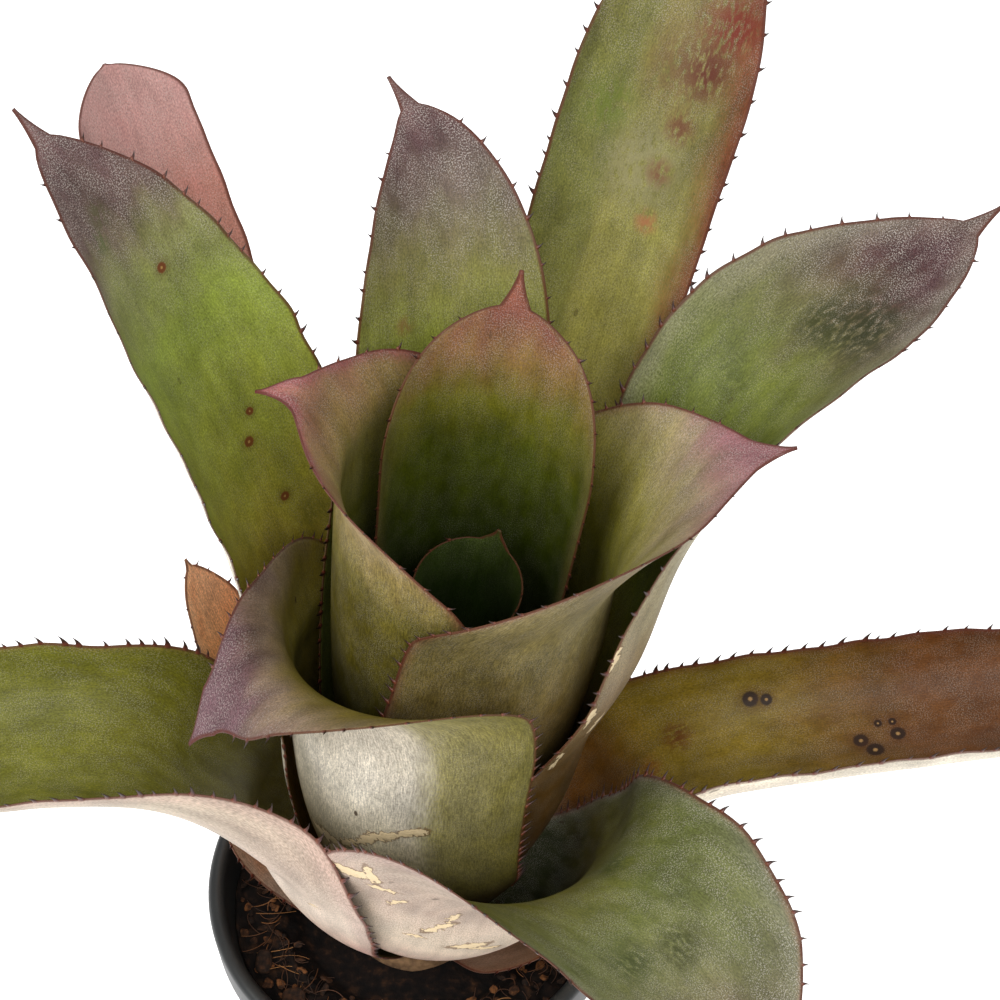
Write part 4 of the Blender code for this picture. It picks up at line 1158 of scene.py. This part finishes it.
def make_leaves():
    """Every leaf's skin in place of its solid, and its spines."""
    tree = spine_tree()
    horn = horn_material()
    slots = {"leaf_13_pink_cut": "leaf_pink", "leaf_14_dead": "leaf_dead"}
    for leaf in LEAVES:
        surface = leaf_surface(leaf)
        look = {**USUAL_LOOK, **LOOKS[leaf.name]}
        skin = add_object(f"{leaf.name}_skin", leaf_mesh(leaf, surface), leaf_material(leaf.name, look))
        finish_piece(skin, slots.get(leaf.name, "leaf_green"), leaf.name)
        if look["spines"] > 0:
            make_spines(leaf, surface, look["spines"], tree, horn)


# ---------------------------------------------------------------- the pot

FLOOR_CORNER = 3.0
BAND_CORNER = 1.0
WALL_ROWS = (30, 60, 90, 120)
OUTSIDE_ROWS = (90, 60, 30)
STEP_UNDER_BAND = ((0.0, 0.6), (0.4, 2.0))  # (in from the wall's top, down from the band)
FOOT_ROUND = ((0, 3), (0.5, 1), (1.5, 0))  # (in from the base's edge, up)
SHARP_ANGLE = 40


def wall_radius(up):
    """The pot's inner wall, which leans out from the floor to the lip."""
    base = POT_BASE_DIAMETER / 2 - POT_WALL
    lip = POT_RIM_DIAMETER / 2 - LIP_WIDTH
    return base + (lip - base) * up / POT_HEIGHT


def arc(centre, radius, start, end, steps):
    """Points on an arc of a profile, between two angles in degrees."""
    angles = np.radians(np.linspace(start, end, steps + 1))
    return [(centre[0] + radius * math.cos(a), centre[1] + radius * math.sin(a)) for a in angles]


def plastic_material():
    """Moulded polypropylene: charcoal, with a fine spark-eroded grain that keeps its sheen low."""
    material, tree = new_material("moulded_polypropylene")
    fine = solid_grain(tree, 0.8, 2.0)
    broad = solid_grain(tree, 30, 4.0)
    shade = add(tree, "ValToRGB", {0: broad}, stops=((0.3, "#191b1b"), (0.7, "#232525")))
    dust = add(tree, "Math", {0: broad, 1: fine}, operation="MULTIPLY")
    shade = stained(tree, shade, "#5c554a", dust, 0.26, 0.42, 0.22)
    rough = add(tree, "MapRange", {"Value": broad, "To Min": 0.38, "To Max": 0.55})
    close_material(tree, {"Base Color": shade, "Roughness": rough, "Specular IOR Level": 0.5}, fine, 0.04)
    return material


def pot_profile():
    """Half a section through the pot, from the floor's middle up the inside and down the outside."""
    rim = POT_RIM_DIAMETER / 2
    base = POT_BASE_DIAMETER / 2
    lip = LIP_WIDTH / 2
    under_rim = rim - RIM_STEP
    band_foot = POT_HEIGHT - RIM_BAND_HEIGHT
    band = rim - BAND_DRAFT
    corner = POT_FLOOR + FLOOR_CORNER
    profile = [(0, POT_FLOOR), (wall_radius(POT_FLOOR) - FLOOR_CORNER, POT_FLOOR)]
    profile += arc((wall_radius(corner) - FLOOR_CORNER, corner), FLOOR_CORNER, -90, 0, 6)
    profile += [(wall_radius(up), up) for up in WALL_ROWS]
    profile += arc((rim - lip, POT_HEIGHT - lip), lip, 180, 0, 20)
    profile += [(band, band_foot + BAND_CORNER)]
    profile += arc((band - BAND_CORNER, band_foot + BAND_CORNER), BAND_CORNER, 0, -90, 6)
    profile += [(under_rim - inward, band_foot - down) for inward, down in STEP_UNDER_BAND]
    profile += [(base + (under_rim - base) * up / band_foot, up) for up in OUTSIDE_ROWS]
    profile += [(base - inward, up) for inward, up in FOOT_ROUND]
    return profile + [(0, 0)]


def make_pot():
    """The pot, turned as one shell, with a ring of drain holes drilled through its floor."""
    thing = add_object("pot_shell", lathe("pot_shell", pot_profile()))
    radius = DRAIN_DIAMETER / 2 * MM
    drill_size = {"segments": 32, "depth": 5 * POT_FLOOR * MM, "radius1": radius, "radius2": radius}
    drills = []
    for i in range(DRAIN_HOLES):
        angle = 2 * math.pi * i / DRAIN_HOLES
        place = Vector((math.cos(angle), math.sin(angle), 0)) * DRAIN_RING_RADIUS * MM
        build = bmesh.new()
        bmesh.ops.create_cone(build, cap_ends=True, matrix=Matrix.Translation(place), **drill_size)
        drills.append(add_object(f"drain_{i + 1}", end_build(build, "drain")))
        modifier = thing.modifiers.new(drills[-1].name, "BOOLEAN")
        modifier.operation = "DIFFERENCE"
        modifier.object = drills[-1]
    pot = plain_copy(thing, "pot_shell", plastic_material())
    for drill in drills:
        bpy.data.objects.remove(drill, do_unlink=True)
    pot.data.set_sharp_from_angle(angle=math.radians(SHARP_ANGLE))
    finish_piece(pot, "charcoal_plastic", "pot")


# ---------------------------------------------------------------- what is in the pot

SOIL_RINGS = 60
SOIL_STEPS = 220
SOIL_GAP = 0.35  # mm between the mix and the pot, so that they don't touch
SOIL_CORNER = 3.6
SOIL_SKIN = 5.0  # the depth below the top where the lumps stop
SOIL_ROUGHNESS = 2.2
LUMP_SIZE = 5.0
CALM_AT_WALL = 2.0
PIT_RADIUS = 42.0
PIT_SLOPE = 9.0
PIT_DEPTH = 9.0
BED_STEPS = 72
BED_LIFT = 0.8
CRUMB_SIZE = 5.0
CRUMBS_PER_AREA = 42000.0
CRUMB_RING = (46, 3)  # (inner radius, gap to the wall)
CRUMB_BREAKS = 2.2  # mm, both the size and the depth of a crumb's broken faces
FIBRES_PER_AREA = 60000.0
FIBRE_LENGTH = 15.0
FIBRE_RADIUS = 0.014  # in lengths, as the bow is
FIBRE_BOW = ((-0.5, 0.0, 0.0), (0.1, 0.35, 0.12), (0.5, -0.05, 0.02))
FIBRE_STEPS = 9
FIBRE_RING = (48, 7)
LITTER_SEED = 5
FLAKE_SQUARENESS = 0.6  # under 1 turns a ball towards a block
FLAKE_LAYER = 3.0
STUMP_RINGS = 60
STUMP_RING_DEPTH = 0.25
STUMP_FOOT = 1.8


def soil_height(radius):
    """Top of the potting mix at a distance from the pot's axis: a low mound that falls to its edge."""
    edge = wall_radius(SOIL_TOP)
    places = (0, 0.6 * edge, 0.85 * edge, edge)
    return SOIL_TOP + SOIL_MOUND * np.interp(radius, places, (1, 0.8, 0.2, 0))


def lumps(place, size):
    """Fractal lumps about 0, from noise of this grain size in millimetres."""
    return noise.fractal(Vector(place) / (size * MM), 1.0, 2.0, 3)


def ramped(value, start, end):
    """0 at `start` and before, 1 at `end` and after."""
    return min(1, max(0, (value - start) / (end - start)))


def bark_mix_material():
    """Composted bark: damp, almost black, with a few dry brown flecks, and wholly matt."""
    material, tree = new_material("composted_bark")
    clods = solid_grain(tree, 4, 6.0)
    stops = ((0.4, "#070403"), (0.56, "#150c07"), (0.66, "#2c1b0f"), (0.76, "#4a2f1a"))
    shade = add(tree, "ValToRGB", {0: clods}, stops=stops)
    close_material(tree, {"Base Color": shade, "Roughness": 0.9, "Specular IOR Level": 0.2}, clods, 0.8)
    return material


def bark_material():
    """Pine bark: layered cork, orange-brown where it split and grey-brown where it weathered."""
    material, tree = new_material("pine_bark")
    layers = solid_grain(tree, 2, 5.0)
    tint = add(tree, "Attribute", out="Fac", attribute_name="tint")
    mixed = add(tree, "Math", {0: tint, 1: 0.5, 2: layers}, operation="MULTIPLY_ADD")
    stops = ((0.4, "#0e0805"), (0.62, "#21140b"), (0.82, "#3c2413"), (1.0, "#6d4424"))
    shade = add(tree, "ValToRGB", {0: mixed}, stops=stops)
    close_material(tree, {"Base Color": shade, "Roughness": 0.85, "Specular IOR Level": 0.25}, layers, 0.4)
    return material


def coir_material():
    """Coir: dry coconut husk fibre, orange-brown and a little glossy along each strand."""
    material, tree = new_material("coconut_coir")
    tint = add(tree, "Attribute", out="Fac", attribute_name="tint")
    stops = ((0.0, "#241408"), (0.5, "#4c2c14"), (0.85, "#7a4c24"), (1.0, "#a8743e"))
    shade = add(tree, "ValToRGB", {0: tint}, stops=stops)
    close_material(tree, {"Base Color": shade, "Roughness": 0.6, "Specular IOR Level": 0.4}, tint, 0.01)
    return material


def stem_material():
    """Stem: dry pith and leaf scars, pale brown, matt and fibrous."""
    material, tree = new_material("fibrous_stem")
    fibres = solid_grain(tree, 3, 5.0)
    shade = add(tree, "ValToRGB", {0: fibres}, stops=((0.3, "#4a3420"), (0.7, "#8a6a48")))
    close_material(tree, {"Base Color": shade, "Roughness": 0.85}, fibres, 0.4)
    return material


def make_mix(material):
    """The potting mix, with a lumpy top and the hollow that the plant's crown stands in."""
    edge = wall_radius(SOIL_TOP) - SOIL_GAP
    foot = POT_FLOOR + SOIL_GAP
    corner = foot + SOIL_CORNER
    profile = [(edge * i / SOIL_RINGS, soil_height(edge * i / SOIL_RINGS)) for i in range(SOIL_RINGS + 1)]
    profile += [(wall_radius(corner) - SOIL_GAP, corner)]
    profile += [(wall_radius(foot) - FLOOR_CORNER - SOIL_GAP, foot), (0, foot)]
    mesh = lathe("bark_mix", profile, SOIL_STEPS)
    axis = plant_frame().to_quaternion() @ Vector((0, 0, 1))
    root = Vector(PLANT_FOOT) * MM
    for vertex in mesh.vertices:
        if vertex.co.z < (SOIL_TOP - SOIL_SKIN) * MM:
            continue
        near_wall = ramped(math.hypot(vertex.co.x, vertex.co.y) / MM, edge, edge - CALM_AT_WALL)
        up = (vertex.co - root).dot(axis)
        off = (vertex.co - root - axis * up).length / MM
        pit = ramped(off, PIT_RADIUS + PIT_SLOPE, PIT_RADIUS)
        lift = lumps(vertex.co, LUMP_SIZE) * SOIL_ROUGHNESS * (1 - pit) - PIT_DEPTH * pit
        vertex.co.z += lift * MM * near_wall
    finish_piece(add_object("bark_mix", mesh, material), "bark_mix", "potting_mix")


def crumb_shape(tree):
    """A ball, which `broken_crumbs` makes angular."""
    return add(tree, "GeometryNodeMeshIcoSphere", {"Radius": 0.5, "Subdivisions": 2})


def strand_shape(tree):
    """A thin bent fibre, one unit long."""
    start, middle, end = FIBRE_BOW
    bow = {"Start": start, "Middle": middle, "End": end, "Resolution": FIBRE_STEPS}
    bend = add(tree, "GeometryNodeCurveQuadraticBezier", bow)
    ring = add(tree, "GeometryNodeCurvePrimitiveCircle", {"Resolution": 4, "Radius": FIBRE_RADIUS})
    return add(tree, "GeometryNodeCurveToMesh", {"Curve": bend, "Profile Curve": ring})


def broken_crumbs(tree, crumbs):
    """The crumbs with their round faces pushed about, each one differently."""
    push = {"Scale": 1 / (CRUMB_BREAKS * MM), "Detail": 2.0}
    push = add(tree, "TexNoise", push, out="Color")
    push = add(tree, "VectorMath", {0: push, 1: (0.5, 0.5, 0.5)}, operation="SUBTRACT")
    push = add(tree, "VectorMath", {0: push, 3: CRUMB_BREAKS * MM}, operation="SCALE")
    return add(tree, "GeometryNodeSetPosition", {"Geometry": crumbs, "Offset": push})


# Each kind of litter: its shape, its least and greatest size against the stated one, and its tilt.
LITTER = {
    "bark_crumbs": (crumb_shape, (0.35, 0.25, 0.15), (1.0, 0.7, 0.4), 0.5),
    "coir_strands": (strand_shape, (0.35, 0.35, 0.5), (1.0, 1.0, 1.2), 0.3),
}


def litter_tree(name):
    """Geometry nodes that strew small pieces over a mesh's faces: crumbs of bark, or strands."""
    shape, low, high, tilt = LITTER[name]
    tree, given = new_tree(
        f"{name}_tree", ("Density", "Float", 1000.0), ("Size", "Float", CRUMB_SIZE * MM), ("Seed", "Int", 0)
    )
    spread = {"Mesh": given["Geometry"], "Density": given["Density"], "Seed": given["Seed"]}
    points = add(tree, "GeometryNodeDistributePointsOnFaces", spread)
    turn = {0: (-tilt, -tilt, 0.0), 1: (tilt, tilt, 2 * math.pi), "Seed": given["Seed"]}
    turn = add(tree, "FunctionNodeRandomValue", turn, data_type="FLOAT_VECTOR")
    size = add(tree, "FunctionNodeRandomValue", {0: low, 1: high, "Seed": 3}, data_type="FLOAT_VECTOR")
    size = add(tree, "VectorMath", {0: size, 3: given["Size"]}, operation="SCALE")
    laying = {"Points": points, "Instance": shape(tree), "Rotation": turn, "Scale": size}
    laid = add(tree, "GeometryNodeInstanceOnPoints", laying)
    tint = add(tree, "FunctionNodeRandomValue", {2: 0.0, 3: 1.0, "Seed": 9}, out=1, data_type="FLOAT")
    tint = {"Geometry": laid, "Name": "tint", "Value": tint}
    marked = add(tree, "GeometryNodeStoreNamedAttribute", tint, data_type="FLOAT", domain="INSTANCE")
    real = add(tree, "GeometryNodeRealizeInstances", {0: marked})
    if shape is crumb_shape:
        real = broken_crumbs(tree, real)
    return end_tree(tree, real, given["Material"])


def strewn(name, density, size, seed, ring, material):
    """Litter of one kind on a ring of the mix's top."""
    inner, outer = ring[0], wall_radius(SOIL_TOP) - ring[1]
    build = bmesh.new()
    radii = (inner, (inner + outer) / 2, outer)
    rings = [level_ring(build, radius, soil_height(radius) + BED_LIFT, BED_STEPS) for radius in radii]
    for near, far in zip(rings, rings[1:]):
        for i in range(BED_STEPS):
            k = (i + 1) % BED_STEPS
            build.faces.new((near[i], far[i], far[k], near[k]))
    bed = add_object(f"{name}_bed", end_build(build, f"{name}_bed", closed=False))
    values = {"Density": density, "Size": size * MM, "Seed": seed, "Material": material}
    run_tree(bed, litter_tree(name), values)
    return plain_copy(bed, name)


def make_chips(material):
    """The larger flakes of bark, each split and weathered in its own way."""
    for number in range(1, 9):
        node = f"bark_chip_{number:02d}"
        low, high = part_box(node)
        middle, size = (low + high) / 2, high - low
        build = bmesh.new()
        bmesh.ops.create_icosphere(build, subdivisions=4, radius=0.5)
        for vertex in build.verts:
            square = Vector(math.copysign(abs(2 * c) ** FLAKE_SQUARENESS, c) / 2 for c in vertex.co)
            vertex.co = Vector(c * s for c, s in zip(square, size)) + middle
            layer = lumps((vertex.co.x * 0.5, vertex.co.y * 0.5, vertex.co.z * 3), FLAKE_LAYER)
            vertex.co += (vertex.co - middle).normalized() * layer * 0.5 * MM
        mesh = end_build(build, f"bark_flake_{number:02d}")
        write_points(mesh, "tint", np.full(len(mesh.vertices), 0.2 + 0.1 * number))
        finish_piece(add_object(mesh.name, mesh, material), "bark_chip", node)


def make_stump():
    """The plant's own short stem, ringed where old leaves came away."""
    out, foot = base_of(OUTER_RANK)
    profile = [(0, STUMP_TOP_HEIGHT)]
    for i in range(STUMP_RINGS + 1):
        share = i / STUMP_RINGS
        ring = STUMP_RING_DEPTH * (math.sin(2 * math.pi * share * OUTER_RANK) - 1)
        radius = STUMP_TOP_RADIUS + (out - STUMP_TOP_RADIUS) * share - STUMP_INSET + ring
        profile.append((radius, STUMP_TOP_HEIGHT + (foot - STUMP_TOP_HEIGHT) * share))
    profile += [(out - STUMP_INSET - STUMP_FOOT, foot - STUMP_FOOT), (0, foot - STUMP_FOOT)]
    mesh = lathe("stem_stump", profile)
    mesh.transform(plant_frame())
    finish_piece(add_object("stem_stump", mesh, stem_material()), "stump", "stump")


def make_potful():
    """The mix with what lies on it, and the stump that stands in it."""
    bark = bark_material()
    make_mix(bark_mix_material())
    make_chips(bark)
    crumbs = strewn("bark_crumbs", CRUMBS_PER_AREA, CRUMB_SIZE, LITTER_SEED, CRUMB_RING, bark)
    finish_piece(crumbs, "bark_chip")
    coir = coir_material()
    fibres = strewn("coir_strands", FIBRES_PER_AREA, FIBRE_LENGTH, LITTER_SEED + 1, FIBRE_RING, coir)
    finish_piece(fibres, "bark_mix")
    make_stump()


# ---------------------------------------------------------------- the studio

CAMERA_PLACE = (0.0314, -0.4162, 0.8202)
CAMERA_TILT = 41.1
LENS = 77.97
SENSOR = 36.0
FLOOR_SIZE = 6.0
FLOOR_GLOW = 0.6
KEY_LIGHT = {"place": (-0.9, -0.7, 1.4), "aim": (0, 0, 0.25), "size": 1.0, "power": 17.0}
FILL_LIGHT = {"place": (0.35, -1.1, 1.7), "aim": (0, 0, 0.2), "size": 1.0, "power": 17.0}
BACK_LIGHT = {"place": (0.2, 1.3, 1.3), "aim": (0, 0, 0.3), "size": 1.4, "power": 6.0}
SKY_STRENGTH = 0.5


def soft_light(name, place, aim, size, power):
    """A square soft box that faces its aim."""
    lamp = bpy.data.lights.new(name, "AREA")
    lamp.size = size
    lamp.energy = power
    thing = add_object(name, lamp)
    thing.location = place
    thing.rotation_euler = (Vector(aim) - Vector(place)).to_track_quat("-Z", "Y").to_euler()


def paper_material():
    """Matt paper, lit until it is almost clear white."""
    material, tree = new_material("white_paper_sweep")
    paper = {"Base Color": "#f7f7f7", "Roughness": 0.9}
    paper |= {"Emission Color": "#ffffff", "Emission Strength": FLOOR_GLOW}
    shader = add(tree, "BsdfPrincipled", paper)
    add(tree, "OutputMaterial", {"Surface": shader}, out=None)
    return material


def make_studio():
    """The floor, the lights, the plain white surroundings and the camera above the plant."""
    mesh = bpy.data.meshes.new("paper_floor")
    half = FLOOR_SIZE / 2
    corners = [(-half, -half, 0), (half, -half, 0), (half, half, 0), (-half, half, 0)]
    mesh.from_pydata(corners, [], [(0, 1, 2, 3)])
    add_object("paper_floor", mesh, paper_material())

    world = bpy.data.worlds.new("studio")
    world.use_nodes = True
    background = world.node_tree.nodes["Background"]
    background.inputs["Color"].default_value = colour("#ffffff")
    background.inputs["Strength"].default_value = SKY_STRENGTH
    bpy.context.scene.world = world
    for name, light in (("key", KEY_LIGHT), ("fill", FILL_LIGHT), ("back", BACK_LIGHT)):
        soft_light(name, **light)

    lens = bpy.data.cameras.new("camera")
    lens.lens = LENS
    lens.sensor_width = SENSOR
    camera = add_object("camera", lens)
    camera.location = CAMERA_PLACE
    camera.rotation_euler = (math.radians(CAMERA_TILT), 0, 0)
    bpy.context.scene.camera = camera
    bpy.context.scene.view_settings.view_transform = "Standard"


make_studio()
make_pot()
make_potful()
make_leaves()
